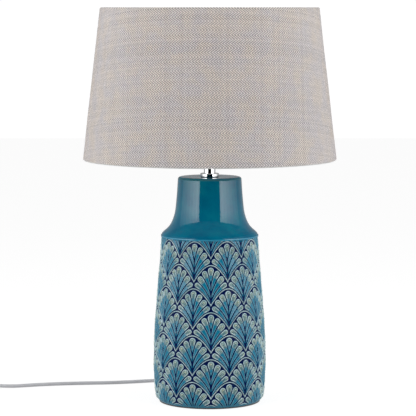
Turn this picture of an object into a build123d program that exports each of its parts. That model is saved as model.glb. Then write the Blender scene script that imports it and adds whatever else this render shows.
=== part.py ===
from build123d import *
import os
from math import cos, hypot, pi, radians, sin, sqrt, tan

os.makedirs("parts", exist_ok=True)

# Table lamp: a moulded ceramic base, a lampholder on a metal tube, and a tapered drum shade.
# Millimetres, +Z up. The origin is on the standing surface, on the axis of the base.
# -Y is the front, and the mains lead leaves at the back.

# ---- Clearances -------------------------------------------------------------------------
touch_gap = 0.05            # between pieces that are assembled face to face
slip_gap = 0.1              # round a thread or a shaft
free_gap = 0.3              # between pieces that move past each other
over_cut = 1.0              # how far a cut runs on past the face that it opens

# ---- Ceramic base -----------------------------------------------------------------------
felt_thickness = 1.5
felt_radius = 70.0
foot_radius = 71.0          # the ring that stands on the felt
base_radius = 76.5          # just above the rounded foot corner
base_corner_height = 12.0
base_corner_bulge = (1.6, 4.2)   # a point of the corner's curve: in from base_radius, and up from the felt
belly_radius = 78.7         # the widest place
belly_height = 54.5
waist_radius = 76.4
waist_height = 117.5
upper_radius = 72.6
upper_height = 165.5
shoulder_radius = 67.7
shoulder_height = 228.0
shoulder_corner = 8.5       # height of the rounded shoulder edge
shoulder_corner_inset = 3.5
shoulder_corner_bulge = 0.7 # how far in the curve has come at half its height
neck_foot_radius = 48.5
neck_foot_height = 261.5
neck_flare = (4.6, 12.7)    # a point of the flare: out from the neck's foot, and down from it
neck_radius = 44.1
ceramic_top = 312.5
neck_edge_round = 3.5
ceramic_wall = 6.5
neck_top_thickness = 7.0
foot_ring_width = 9.0
recess_height = 27.0        # underside of the inner floor
inner_floor = 7.0

# ---- Rod, nut and neck metal ------------------------------------------------------------
rod_radius = 5.0
rod_wall = 1.0
rod_lower_end = 16.0
nut_wall = 2.0              # at the flats
nut_height = 5.0
washer_radius = 13.0
washer_thickness = 1.8
rubber_radius = 14.0
rubber_thickness = 2.0
gasket_radius = 12.0
gasket_thickness = 0.8
collar_radius = 13.0
collar_height = 4.2
collar_edge_round = 1.2
tube_radius = 8.0
tube_wall = 1.2
tube_length = 26.0

# ---- Lampholder, with its skirt threaded for the shade rings ------------------------------
cap_boss_wall = 4.5         # round the rod, deep enough for the grub screw
cap_boss_height = 6.0
cap_flare_height = 10.0
cap_height = 26.0
holder_wall = 2.4
skirt_wall = 3.1            # carries the thread of the shade rings
skirt_length = 38.0
skirt_lip_gap = 1.5         # between the bulb's cap and the opening at the top of the skirt
skirt_lip_height = 3.0
rod_in_cap = 8.0            # how far the rod stands into the cap
grub_radius = 1.5
grub_length = 3.5
insert_rim = 0.6            # how far the insert's foot stands out from its cup
insert_thickness = 8.0
insert_cup_wall = 1.9
screw_shell_gap = 0.5       # depth left for the bulb's thread
screw_shell_wall = 0.5
screw_shell_length = 24.0
terminal_size = 6.0
terminal_spread = 9.5
terminal_screw_radius = 1.5
contact_strip_width = 5.0
contact_strip_reach = 6.0
contact_strip_thickness = 0.6
bulb_tip_rise = 4.5         # bulb's tip above the insert
ring_flange_reach = 8.2     # out from the skirt's thread, as the next three are
ring_collar_reach = 3.7
ring_washer_reach = 5.2
spider_ring_gap = 1.2
ring_flange_thickness = 1.8
ring_height = 5.0
ring_rib_count = 24
ring_rib_radius = 0.9
ring_washer_thickness = 0.6

# ---- Shade ------------------------------------------------------------------------------
shade_above_ceramic = 23.0
shade_height = 210.0
shade_bottom_radius = 175.0
shade_top_radius = 150.5
fabric_thickness = 0.8
liner_thickness = 0.6
wire_radius = 1.2
hem_length = 12.0
spider_ring_width = 9.0
weld_depth = 0.8
spider_ring_thickness = 2.0
spider_above_shade_edge = 46.0
arm_radius = 1.5
arm_count = 3
arm_flat_run = 22.0
arm_end_rise = 8.0
arm_bend_radius = 9.0

# ---- Bulb -------------------------------------------------------------------------------
bulb_cap_radius = 13.1
bulb_cap_height = 19.5
bulb_cap_wall = 0.4
bulb_globe_radius = 30.0
bulb_length = 107.5
bulb_wall = 1.3
bulb_contact_radius = 4.5
bulb_contact_height = 2.5
bulb_contact_chamfer = 1.0
bulb_insulator_height = 4.5
globe_rim_below_centre = 13.0
led_board_radius = 23.0
led_board_thickness = 1.6
led_count = 9
led_circle_radius = 14.0
led_size = 3.0
led_height = 0.8
driver_width = 15.0
driver_thickness = 1.6
driver_part_height = 5.0
driver_parts = [(9.0, 3.4), (18.0, 4.2), (28.0, 3.0)]   # place along the board, and radius
housing_in_cap = 6.0

# ---- Mains lead -------------------------------------------------------------------------
lead_radius = 2.5
core_radius = 1.1
core_offset = 1.6
core_bend_radius = 10.0
core_rise = 1.5             # the cores run on above the rod before they part
core_drop = 3.5             # and come straight into the terminals
outlet_height = 9.0         # axis of the cable hole above the standing surface
gland_neck_radius = 4.4
gland_flange_radius = 6.5
gland_flange_thickness = 2.0
gland_seat_gap = 0.8        # the flange clears the curve of the wall
gland_taper_length = 20.0
gland_tip_radius = 3.5
gland_shoulder = (1.0, 1.2) # chamfer of the outer flange: along the lead, and inwards
lock_radius = 5.5
lock_length = 8.0
jacket_end_y = 49.0

# Lamp to switch: laid by hand, then nearly straight along the surface.
lamp_side_route = [
    (0, 49, 9), (0, 116, 9), (-14, 145, 4.4), (-44, 155, 2.6), (-86, 138.5, 2.6),
    (-138, 123, 2.6), (-184, 119, 2.6), (-224, 113, 2.6), (-258, 103, 2.6), (-286, 91, 2.8),
    (-320, 80, 7), (-355, 80, 7),
]
# Switch to coil, and coil to plug.
plug_side_route = [(-395, 80, 7), (-430, 80, 7), (-465, 78.6, 3.7), (-493, 77.5, 3.4)]
tail_route = [(-493, 147, 7.7), (-467, 146.2, 7.6), (-441, 142, 6.9), (-416, 142, 6.9)]

# ---- In-line switch ---------------------------------------------------------------------
switch_centre = (-375.0, 80.0)
switch_half_length = 42.0
switch_half_body = 25.0     # half of the stretch at full width
switch_half_width = 13.5
switch_half_nose = 6.5
switch_split = 7.0          # height of the joint between base and cover, on the lead's axis
switch_height = 18.0
switch_wall = 2.0
switch_edge_round = 2.0
rocker_length = 23.0
rocker_width = 12.4
rocker_depth = 8.0
rocker_crown = 3.4          # top of the rocker above its pin
rocker_window_gap = 1.2
rocker_pin_radius = 1.2
rocker_pin_overhang = 0.7   # past the outer face of each cheek
rocker_axis_height = 14.6
rocker_rest_tilt = 7.0
rocker_contact_thickness = 0.8
rocker_contact_width = 3.0
rocker_contact_length = 17.25
rocker_dish = 1.6
switch_screw_radius = 1.5
switch_screw_inset = (4.0, 5.5)  # in from the end and from the side of the body
lead_in_switch = 22.0       # length of lead inside each end
fixed_contact_reach = 15.0
fixed_contact_offset = 2.5
fixed_contact_length = 6.0
fixed_contact_width = 5.0
fixed_contact_height = 5.5
cheek_length = 8.0
cheek_foot = 11.5
clamp_reach = 22.4
clamp_width = 9.0
cheek_thickness = 1.8
clamp_length = 5.0
clamp_height = 2.5

# ---- Coil of spare lead -----------------------------------------------------------------
coil_centre = (-493.0, 113.5)
coil_mean_radius = 28.5
coil_lift = 0.9             # room for the tie under the turns
coil_columns = 4
coil_layers = 2
tie_thickness = 0.8
tie_width = 9.0

# ---- Plug -------------------------------------------------------------------------------
plug_face_x = -372.0
plug_axis = (142.0, 6.9)    # y and z
plug_body_length = 36.0
plug_face_width = 35.0
plug_rear_width = 17.0
plug_height = 13.1
plug_corner_radius = 5.48
plug_sleeve_length = 25.0
plug_sleeve_radius = 5.6
plug_sleeve_tip_radius = 3.4
pin_pitch = 18.6
pin_radius = 2.0
pin_length = 19.0
pin_sleeve_radius = 1.75
pin_sleeve_length = 10.0
pin_core_radius = 1.5
pin_root_depth = 8.0
pin_tip_chamfer = 0.8

# ---- Radii and lengths worked out from the sizes above ------------------------------------------------
rod_bore_radius = rod_radius - rod_wall
nut_across_flats = 2 * (rod_radius + nut_wall)
cap_boss_radius = rod_radius + cap_boss_wall
screw_shell_bore = bulb_cap_radius + screw_shell_gap
insert_cup_radius = screw_shell_bore + screw_shell_wall + insert_cup_wall
insert_radius = insert_cup_radius + insert_rim
skirt_bore = insert_radius + slip_gap
skirt_radius = skirt_bore + skirt_wall
skirt_lip_radius = bulb_cap_radius + skirt_lip_gap
ring_flange_radius = skirt_radius + ring_flange_reach
ring_collar_radius = skirt_radius + ring_collar_reach
ring_washer_radius = skirt_radius + ring_washer_reach
spider_ring_bore = skirt_radius + spider_ring_gap
recess_radius = foot_radius - foot_ring_width
rocker_pin_length = rocker_width + 2 * (free_gap + cheek_thickness + rocker_pin_overhang)

# ---- Heights worked out from the sizes above ----------------------------------------------
foot_height = felt_thickness
neck_underside = ceramic_top - neck_top_thickness
inner_floor_top = recess_height + inner_floor
rubber_top = recess_height
rubber_foot = rubber_top - rubber_thickness
washer_foot = rubber_foot - washer_thickness
nut_foot = washer_foot - nut_height
collar_foot = ceramic_top + gasket_thickness
tube_foot = collar_foot + collar_height
holder_foot = tube_foot + tube_length
cap_top = holder_foot + cap_height
skirt_top = cap_top + skirt_length
rod_upper_end = holder_foot + rod_in_cap
insert_foot = cap_top - free_gap
insert_top = insert_foot + insert_thickness
bulb_tip = insert_top + bulb_tip_rise
shade_foot = ceramic_top + shade_above_ceramic
shade_top = shade_foot + shade_height
spider_foot = shade_foot + spider_above_shade_edge
spider_top = spider_foot + spider_ring_thickness
lower_ring_top = spider_foot - free_gap
ring_washer_foot = spider_top + free_gap
upper_ring_foot = ring_washer_foot + ring_washer_thickness
globe_centre = bulb_tip + bulb_length - bulb_globe_radius
globe_rim = globe_centre - globe_rim_below_centre
bulb_cap_foot = bulb_tip + bulb_contact_height + bulb_insulator_height
bulb_cap_top = bulb_cap_foot + bulb_cap_height
grub_height = holder_foot + cap_boss_height / 2
switch_screw_places = [
    (switch_centre[0] + side * (switch_half_body - switch_screw_inset[0]),
     switch_centre[1] - side * (switch_half_width - switch_screw_inset[1]))
    for side in (-1, 1)
]


def save(piece, name):
    """Label a finished piece and write it as its own STEP file."""
    piece.part.label = name
    export_step(piece.part, f"parts/{name}.step")


def turned(points):
    """Revolve a closed outline of (radius, height) points about the lamp's axis."""
    with BuildSketch(Plane.XZ) as profile:
        with BuildLine():
            Polyline(points, close=True)
        make_face()
    revolve(profile.sketch, axis=Axis.Z)


def ring(inner, outer, foot, top):
    """A plain ring about the lamp's axis."""
    turned([(inner, foot), (outer, foot), (outer, top), (inner, top)])


def route_radii(points):
    """The largest tangent arc that each corner of a cord's route leaves room for."""
    vectors = [Vector(*point) for point in points]
    runs = [b - a for a, b in zip(vectors, vectors[1:])]
    radii = []
    for before, after in zip(runs, runs[1:]):
        half_turn = radians(before.get_angle(after)) / 2
        radii.append(0.45 * min(before.length, after.length) / tan(half_turn))
    return radii


def cord_tube(name, points, radius):
    """A round cord swept along straight runs joined by tangent arcs."""
    radii = route_radii(points)
    with BuildPart() as cord:
        with BuildLine() as path:
            FilletPolyline(*points, radius=radii)
        with BuildSketch(Plane(origin=path.line @ 0, z_dir=path.line % 0)):
            Circle(radius)
        sweep()
    length = sum(edge.length for edge in path.edges())
    ratio = cord.part.volume / (pi * radius**2 * length)
    print(f"{name}: length {length:.1f}, volume against section times length {ratio:.4f},",
          "radii", [round(value, 1) for value in radii])
    save(cord, name)


# ==== Base =================================================================================

def ceramic_side(inset):
    """Side wall of the ceramic from the foot corner to the neck, moved inwards by inset."""
    Spline(
        (base_radius - inset, base_corner_height),
        (belly_radius - inset, belly_height),
        (waist_radius - inset, waist_height),
        (upper_radius - inset, upper_height),
        (shoulder_radius - inset, shoulder_height),
    )
    edge_top = (shoulder_radius - shoulder_corner_inset - inset, shoulder_height + shoulder_corner)
    ThreePointArc(
        (shoulder_radius - inset, shoulder_height),
        (shoulder_radius - shoulder_corner_bulge - inset, shoulder_height + shoulder_corner / 2),
        edge_top,
    )
    Spline(
        edge_top,
        (neck_foot_radius + neck_flare[0] - inset, neck_foot_height - neck_flare[1]),
        (neck_foot_radius - inset, neck_foot_height),
        (neck_radius - inset, neck_underside),
        tangents=[(-8.0, 6.5), (-1.0, 14.0)],
    )


with BuildPart() as hollow:
    with BuildSketch(Plane.XZ):
        with BuildLine():
            Line((0, base_corner_height), (base_radius - ceramic_wall, base_corner_height))
            ceramic_side(ceramic_wall)
            Line((neck_radius - ceramic_wall, neck_underside), (0, neck_underside))
            Line((0, neck_underside), (0, base_corner_height))
        make_face()
    revolve(axis=Axis.Z)
    split(bisect_by=Plane.XY.offset(inner_floor_top), keep=Keep.TOP)

with BuildPart() as ceramic_body:
    with BuildSketch(Plane.XZ):
        with BuildLine():
            Line((0, foot_height), (foot_radius, foot_height))
            ThreePointArc(
                (foot_radius, foot_height),
                (base_radius - base_corner_bulge[0], foot_height + base_corner_bulge[1]),
                (base_radius, base_corner_height),
            )
            ceramic_side(0)
            Line((neck_radius, neck_underside), (neck_radius, ceramic_top - neck_edge_round))
            RadiusArc(
                (neck_radius, ceramic_top - neck_edge_round),
                (neck_radius - neck_edge_round, ceramic_top),
                -neck_edge_round,
            )
            Line((neck_radius - neck_edge_round, ceramic_top), (0, ceramic_top))
            Line((0, ceramic_top), (0, foot_height))
        make_face()
    revolve(axis=Axis.Z)
    add(hollow.part, mode=Mode.SUBTRACT)
    # The recess under the base, inside the foot ring.
    with BuildSketch(Plane.XY.offset(foot_height)):
        Circle(recess_radius)
    extrude(amount=recess_height - foot_height, mode=Mode.SUBTRACT)
    # Holes for the rod, through the inner floor and the neck top.
    with BuildSketch(Plane.XY.offset(foot_height)):
        Circle(rod_radius + free_gap)
    extrude(amount=ceramic_top - foot_height, mode=Mode.SUBTRACT)
    # The cable hole, out through the back of the foot wall.
    with BuildSketch(Plane(origin=(0, recess_radius - gland_flange_thickness, outlet_height), z_dir=(0, 1, 0))):
        Circle(gland_neck_radius + slip_gap)
    extrude(amount=base_radius, mode=Mode.SUBTRACT)
save(ceramic_body, "ceramic_body")

with BuildPart() as base_felt:
    with BuildSketch():
        Circle(felt_radius)
    extrude(amount=felt_thickness)
save(base_felt, "base_felt")

with BuildPart() as rubber_washer:
    ring(rod_radius + slip_gap, rubber_radius, rubber_foot, rubber_top)
save(rubber_washer, "rubber_washer")

with BuildPart() as steel_washer:
    ring(rod_radius + slip_gap, washer_radius, washer_foot, rubber_foot)
save(steel_washer, "steel_washer")

with BuildPart() as base_nut:
    with BuildSketch(Plane.XY.offset(nut_foot)):
        RegularPolygon(nut_across_flats / 2, 6, major_radius=False)
        Circle(rod_radius + touch_gap, mode=Mode.SUBTRACT)
    extrude(amount=nut_height)
save(base_nut, "base_nut")

with BuildPart() as threaded_rod:
    ring(rod_bore_radius, rod_radius, rod_lower_end, rod_upper_end)
save(threaded_rod, "threaded_rod")

with BuildPart() as neck_gasket:
    ring(rod_radius + slip_gap, gasket_radius, ceramic_top, collar_foot)
save(neck_gasket, "neck_gasket")

with BuildPart() as neck_collar:
    ring(rod_radius + slip_gap, collar_radius, collar_foot, tube_foot)
    fillet(neck_collar.edges().group_by(Axis.Z)[-1].sort_by(SortBy.RADIUS)[-1], collar_edge_round)
save(neck_collar, "neck_collar")

with BuildPart() as neck_tube:
    ring(tube_radius - tube_wall, tube_radius, tube_foot, holder_foot)
save(neck_tube, "neck_tube")


# ==== Lampholder ===========================================================================

with BuildPart() as holder_cap:
    flare_top = holder_foot + cap_boss_height + cap_flare_height
    turned([
        (rod_radius + touch_gap, holder_foot),
        (cap_boss_radius, holder_foot),
        (cap_boss_radius, holder_foot + cap_boss_height),
        (skirt_radius, flare_top),
        (skirt_radius, cap_top),
        (skirt_radius - holder_wall, cap_top),
        (skirt_radius - holder_wall, flare_top + holder_wall / 2),
        (cap_boss_radius - holder_wall / 2, holder_foot + cap_boss_height + holder_wall / 2),
        (rod_radius + touch_gap, holder_foot + cap_boss_height + holder_wall / 2),
    ])
    # The hole for the grub screw that locks the cap on the rod.
    with BuildSketch(Plane(origin=(rod_radius, 0, grub_height), z_dir=(1, 0, 0))):
        Circle(grub_radius)
    extrude(amount=cap_boss_radius, mode=Mode.SUBTRACT)
save(holder_cap, "holder_cap")

with BuildPart() as holder_grub_screw:
    with BuildSketch(Plane(origin=(rod_radius + touch_gap, 0, grub_height), z_dir=(1, 0, 0))):
        Circle(grub_radius - touch_gap)
    extrude(amount=grub_length)
    with BuildSketch(Plane(origin=(rod_radius + touch_gap + grub_length, 0, grub_height), z_dir=(1, 0, 0))):
        RegularPolygon(grub_radius / 2, 6)
    extrude(amount=-grub_length / 2, mode=Mode.SUBTRACT)
save(holder_grub_screw, "holder_grub_screw")

with BuildPart() as holder_shell:
    turned([
        (skirt_bore, cap_top),
        (skirt_radius, cap_top),
        (skirt_radius, skirt_top),
        (skirt_lip_radius, skirt_top),
        (skirt_lip_radius, skirt_top - skirt_lip_height),
        (skirt_bore, skirt_top - skirt_lip_height),
    ])
save(holder_shell, "holder_shell")

with BuildPart() as holder_insert:
    with BuildSketch(Plane.XY.offset(insert_foot)):
        Circle(insert_radius)
        with Locations((terminal_spread, 0), (-terminal_spread, 0)):
            Circle(terminal_screw_radius + touch_gap, mode=Mode.SUBTRACT)
    extrude(amount=insert_thickness)
    # The cup that backs the brass screw shell.
    with BuildSketch(Plane.XY.offset(insert_top)):
        Circle(insert_cup_radius)
        Circle(screw_shell_bore + screw_shell_wall, mode=Mode.SUBTRACT)
    extrude(amount=skirt_top - skirt_lip_height - touch_gap - insert_top)
save(holder_insert, "holder_insert")

with BuildPart() as screw_shell:
    ring(screw_shell_bore, screw_shell_bore + screw_shell_wall, insert_top, insert_top + screw_shell_length)
save(screw_shell, "screw_shell")

with BuildPart() as centre_contact:
    # A bent spring strip: a foot on the insert, a rise, and a pad under the bulb's tip.
    with BuildSketch(Plane.XZ.offset(-contact_strip_width / 2)):
        with BuildLine():
            Polyline(
                (-contact_strip_reach, insert_top),
                (contact_strip_reach / 3, insert_top),
                (contact_strip_reach, bulb_tip - touch_gap - contact_strip_thickness),
                (contact_strip_reach, bulb_tip - touch_gap),
                (-contact_strip_reach / 2, bulb_tip - touch_gap),
                (-contact_strip_reach / 2, bulb_tip - touch_gap - contact_strip_thickness),
                (contact_strip_reach / 2, bulb_tip - touch_gap - contact_strip_thickness),
                (0, insert_top + contact_strip_thickness),
                (-contact_strip_reach, insert_top + contact_strip_thickness),
                close=True,
            )
        make_face()
    extrude(amount=contact_strip_width)
save(centre_contact, "centre_contact")

with BuildPart() as terminal_blocks:
    with Locations(
        (terminal_spread, 0, insert_foot - terminal_size / 2),
        (-terminal_spread, 0, insert_foot - terminal_size / 2),
    ):
        Box(terminal_size, terminal_size, terminal_size)
        Hole(terminal_screw_radius + touch_gap)
save(terminal_blocks, "terminal_blocks")

with BuildPart() as terminal_screws:
    with BuildSketch(Plane.XY.offset(insert_foot - terminal_size / 2)):
        with Locations((terminal_spread, 0), (-terminal_spread, 0)):
            Circle(terminal_screw_radius)
    extrude(amount=insert_thickness + terminal_size / 2)
save(terminal_screws, "terminal_screws")


# ==== Shade rings on the threaded skirt ======================================================

def shade_ring(foot, flange_up):
    """A screw ring: a flat flange with a ribbed collar above or below it."""
    flange_foot = foot + ring_height - ring_flange_thickness if flange_up else foot
    bore = skirt_radius + slip_gap
    with BuildSketch(Plane.XY.offset(foot)) as collar:
        Circle(ring_collar_radius)
        with PolarLocations(ring_collar_radius, ring_rib_count):
            Circle(ring_rib_radius)
        Circle(bore, mode=Mode.SUBTRACT)
    extrude(collar.sketch, amount=ring_height)
    with BuildSketch(Plane.XY.offset(flange_foot)) as flange:
        Circle(ring_flange_radius)
        Circle(bore, mode=Mode.SUBTRACT)
    extrude(flange.sketch, amount=ring_flange_thickness)


with BuildPart() as lower_shade_ring:
    shade_ring(lower_ring_top - ring_height, flange_up=True)
save(lower_shade_ring, "lower_shade_ring")

with BuildPart() as ring_washer:
    ring(skirt_radius + slip_gap, ring_washer_radius, ring_washer_foot, upper_ring_foot - touch_gap)
save(ring_washer, "ring_washer")

with BuildPart() as upper_shade_ring:
    shade_ring(upper_ring_foot, flange_up=False)
save(upper_shade_ring, "upper_shade_ring")


# ==== Shade ================================================================================

slant_length = hypot(shade_height, shade_bottom_radius - shade_top_radius)
slant_sine = (shade_bottom_radius - shade_top_radius) / slant_length
slant_cosine = shade_height / slant_length
roll_radius = wire_radius + fabric_thickness


def on_slant(up, out):
    """Radius and height of a point up the shade's side from its lower edge, and out from its face."""
    return (
        shade_bottom_radius - up * slant_sine + out * slant_cosine,
        shade_foot + up * slant_cosine + out * slant_sine,
    )


bottom_wire_place = on_slant(roll_radius, -roll_radius)
top_wire_place = on_slant(slant_length - roll_radius, -roll_radius)


def hem(wire_place, wire_up, hem_up):
    """Cloth rolled round one wire, with its tail glued to the inside of the liner."""
    with BuildSketch(Plane.XZ) as roll:
        with Locations(wire_place):
            Circle(roll_radius)
        with BuildLine():
            Polyline(
                on_slant(wire_up, -2 * roll_radius),
                on_slant(wire_up, fabric_thickness - 2 * roll_radius),
                on_slant(hem_up, -fabric_thickness - liner_thickness),
                on_slant(hem_up, -2 * fabric_thickness - liner_thickness),
                close=True,
            )
        make_face()
        with Locations(wire_place):
            Circle(wire_radius + touch_gap, mode=Mode.SUBTRACT)
    revolve(roll.sketch, axis=Axis.Z)


with BuildPart() as shade_fabric:
    turned([
        on_slant(roll_radius, 0),
        on_slant(slant_length - roll_radius, 0),
        on_slant(slant_length - roll_radius, -fabric_thickness),
        on_slant(roll_radius, -fabric_thickness),
    ])
    hem(bottom_wire_place, roll_radius, hem_length)
    hem(top_wire_place, slant_length - roll_radius, slant_length - hem_length)
save(shade_fabric, "shade_fabric")

with BuildPart() as shade_liner:
    liner_foot = 2 * roll_radius + free_gap
    turned([
        on_slant(liner_foot, -fabric_thickness),
        on_slant(slant_length - liner_foot, -fabric_thickness),
        on_slant(slant_length - liner_foot, -fabric_thickness - liner_thickness),
        on_slant(liner_foot, -fabric_thickness - liner_thickness),
    ])
save(shade_liner, "shade_liner")

for wire_name, wire_place in (("shade_bottom_wire", bottom_wire_place), ("shade_top_wire", top_wire_place)):
    with BuildPart() as wire:
        with BuildSketch(Plane.XZ):
            with Locations(wire_place):
                Circle(wire_radius)
        revolve(axis=Axis.Z)
    save(wire, wire_name)

with BuildPart() as spider_ring:
    ring(spider_ring_bore, spider_ring_bore + spider_ring_width, spider_foot, spider_top)
save(spider_ring, "spider_ring")

with BuildPart() as spider_arms:
    # One arm at the back, the others a third of a turn away, so none stands in front.
    arm_height = spider_foot + spider_ring_thickness / 2
    arm_start = (spider_ring_bore + spider_ring_width - weld_depth, arm_height)
    arm_knee = (arm_start[0] + arm_flat_run, arm_height)
    arm_ankle = (bottom_wire_place[0] - arm_flat_run, bottom_wire_place[1] + arm_end_rise)
    for index in range(arm_count):
        turn = 90 + index * 360 / arm_count
        side = Plane(origin=(0, 0, 0), x_dir=(cos(radians(turn)), sin(radians(turn)), 0),
                     z_dir=(sin(radians(turn)), -cos(radians(turn)), 0))
        with BuildLine(side) as arm:
            FilletPolyline(arm_start, arm_knee, arm_ankle, bottom_wire_place, radius=arm_bend_radius)
        with BuildSketch(Plane(origin=arm.line @ 0, z_dir=arm.line % 0)):
            Circle(arm_radius)
        sweep(path=arm.line)
save(spider_arms, "spider_arms")


# ==== Bulb =================================================================================

def globe_ring_radius(height, radius):
    """Radius of a sphere about the globe's centre, at a height."""
    return sqrt(radius**2 - (height - globe_centre)**2)


with BuildPart() as bulb_contact:
    turned([
        (0, bulb_tip),
        (bulb_contact_radius - bulb_contact_chamfer, bulb_tip),
        (bulb_contact_radius, bulb_tip + bulb_contact_chamfer),
        (bulb_contact_radius, bulb_tip + bulb_contact_height),
        (0, bulb_tip + bulb_contact_height),
    ])
save(bulb_contact, "bulb_contact")

with BuildPart() as bulb_insulator:
    insulator_foot = bulb_tip + bulb_contact_height + touch_gap
    turned([
        (0, insulator_foot),
        (bulb_contact_radius + bulb_contact_chamfer, insulator_foot),
        (bulb_cap_radius - bulb_cap_wall - touch_gap, bulb_cap_foot),
        (bulb_cap_radius - bulb_cap_wall - touch_gap, bulb_cap_foot + bulb_insulator_height / 3),
        (0, bulb_cap_foot + bulb_insulator_height / 3),
    ])
save(bulb_insulator, "bulb_insulator")

with BuildPart() as bulb_cap:
    ring(bulb_cap_radius - bulb_cap_wall, bulb_cap_radius, bulb_cap_foot, bulb_cap_top)
save(bulb_cap, "bulb_cap")

with BuildPart() as bulb_housing:
    rim_radius = globe_ring_radius(globe_rim, bulb_globe_radius)
    neck = bulb_cap_radius - bulb_cap_wall - touch_gap
    with BuildSketch(Plane.XZ):
        with BuildLine():
            Polyline(
                (neck - bulb_wall, bulb_cap_top - housing_in_cap),
                (neck, bulb_cap_top - housing_in_cap),
                (neck, bulb_cap_top + touch_gap),
                (bulb_cap_radius, bulb_cap_top + touch_gap),
            )
            Spline(
                (bulb_cap_radius, bulb_cap_top + touch_gap),
                (rim_radius, globe_rim),
                tangents=[(0.5, 4.0), (2.0, 2.6)],
            )
            Line((rim_radius, globe_rim), (rim_radius - bulb_wall, globe_rim))
            Spline(
                (rim_radius - bulb_wall, globe_rim),
                (neck - bulb_wall, bulb_cap_top + touch_gap),
                tangents=[(-2.0, -2.6), (-0.5, -4.0)],
            )
            Line((neck - bulb_wall, bulb_cap_top + touch_gap), (neck - bulb_wall, bulb_cap_top - housing_in_cap))
        make_face()
    revolve(axis=Axis.Z)
save(bulb_housing, "bulb_housing")

with BuildPart() as bulb_globe:
    with BuildSketch(Plane.XZ):
        with Locations((0, globe_centre)):
            Circle(bulb_globe_radius)
            Circle(bulb_globe_radius - bulb_wall, mode=Mode.SUBTRACT)
        with Locations((bulb_globe_radius, globe_rim + touch_gap + bulb_globe_radius)):
            Rectangle(2 * bulb_globe_radius, 2 * bulb_globe_radius, mode=Mode.INTERSECT)
    revolve(axis=Axis.Z)
save(bulb_globe, "bulb_globe")

with BuildPart() as led_board:
    with BuildSketch(Plane.XY.offset(globe_rim - led_board_thickness)):
        Circle(led_board_radius)
    extrude(amount=led_board_thickness)
save(led_board, "led_board")

with BuildPart() as led_chips:
    with BuildSketch(Plane.XY.offset(globe_rim)):
        with PolarLocations(led_circle_radius, led_count):
            Rectangle(led_size, led_size)
    extrude(amount=led_height)
save(led_chips, "led_chips")

with BuildPart() as bulb_driver:
    driver_foot = bulb_cap_foot + bulb_insulator_height
    driver_top = globe_rim - led_board_thickness - free_gap
    with BuildSketch(Plane.XY.offset(driver_foot)):
        Rectangle(driver_width, driver_thickness)
    extrude(amount=driver_top - driver_foot)
    # Two round capacitors and a coil stand on the board.
    for along, part_radius in driver_parts:
        with BuildSketch(Plane(origin=(0, driver_thickness / 2, driver_foot + along), z_dir=(0, 1, 0))):
            Circle(part_radius)
        extrude(amount=driver_part_height)
save(bulb_driver, "bulb_driver")


# ==== Cable outlet and the wires inside =======================================================

outlet_plane_y = recess_radius - gland_flange_thickness
outer_wall_y = base_radius + gland_seat_gap


def turned_about_lead(points):
    """Revolve a closed outline of (y, distance from the lead's axis) about the outlet's axis."""
    with BuildSketch(Plane(origin=(0, 0, outlet_height), x_dir=(0, 1, 0), z_dir=(1, 0, 0))) as profile:
        with BuildLine():
            Polyline(points, close=True)
        make_face()
    revolve(profile.sketch, axis=Axis((0, 0, outlet_height), (0, 1, 0)))


with BuildPart() as cable_gland:
    turned_about_lead([
        (outlet_plane_y, lead_radius + touch_gap),
        (outlet_plane_y, gland_flange_radius),
        (recess_radius - gland_seat_gap, gland_flange_radius),
        (recess_radius - gland_seat_gap, gland_neck_radius),
        (outer_wall_y, gland_neck_radius),
        (outer_wall_y, gland_flange_radius),
        (outer_wall_y + gland_flange_thickness, gland_flange_radius),
        (outer_wall_y + gland_flange_thickness + gland_shoulder[0], gland_flange_radius - gland_shoulder[1]),
        (outer_wall_y + gland_taper_length, gland_tip_radius),
        (outer_wall_y + gland_taper_length, lead_radius + touch_gap),
    ])
save(cable_gland, "cable_gland")

with BuildPart() as cable_lock:
    turned_about_lead([
        (outlet_plane_y - free_gap - lock_length, lead_radius + touch_gap),
        (outlet_plane_y - free_gap - lock_length, lock_radius),
        (outlet_plane_y - free_gap, lock_radius),
        (outlet_plane_y - free_gap, lead_radius + touch_gap),
    ])
save(cable_lock, "cable_lock")

for core_name, side in (("live_core", 1), ("neutral_core", -1)):
    core_route = [
        (side * (core_radius + touch_gap), jacket_end_y, outlet_height),
        (side * core_offset, 0, outlet_height),
        (side * core_offset, 0, rod_upper_end + core_rise),
        (side * terminal_spread, 0, insert_foot - terminal_size - core_drop),
        (side * terminal_spread, 0, insert_foot - terminal_size),
    ]
    corner_radii = [core_bend_radius] + [min(core_bend_radius, r) for r in route_radii(core_route)[1:]]
    with BuildPart() as core:
        with BuildLine() as path:
            FilletPolyline(*core_route, radius=corner_radii)
        with BuildSketch(Plane(origin=path.line @ 0, z_dir=path.line % 0)):
            Circle(core_radius)
        sweep()
    save(core, core_name)


# ==== Mains lead =============================================================================

cord_tube("lead_lamp_side", lamp_side_route, lead_radius)
cord_tube("lead_plug_side", plug_side_route, lead_radius)
cord_tube("lead_tail", tail_route, lead_radius)

# The coil's section: turns side by side on the floor, one fewer in each layer above.
layer_rise = lead_radius * sqrt(3)
coil_half_width = coil_columns * lead_radius
coil_top_half_width = (coil_columns - coil_layers + 1) * lead_radius
coil_foot = coil_lift
coil_shoulder = coil_lift + 2 * lead_radius
coil_top = coil_lift + 2 * lead_radius + (coil_layers - 1) * layer_rise


def coil_section(margin):
    """Outline of the coil's section as (distance from its mean circle, height), grown by margin."""
    wide = coil_half_width + margin
    narrow = coil_top_half_width + margin
    return [
        (-wide, coil_foot - margin), (wide, coil_foot - margin), (wide, coil_shoulder),
        (narrow, coil_top + margin), (-narrow, coil_top + margin), (-wide, coil_shoulder),
    ]


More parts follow.
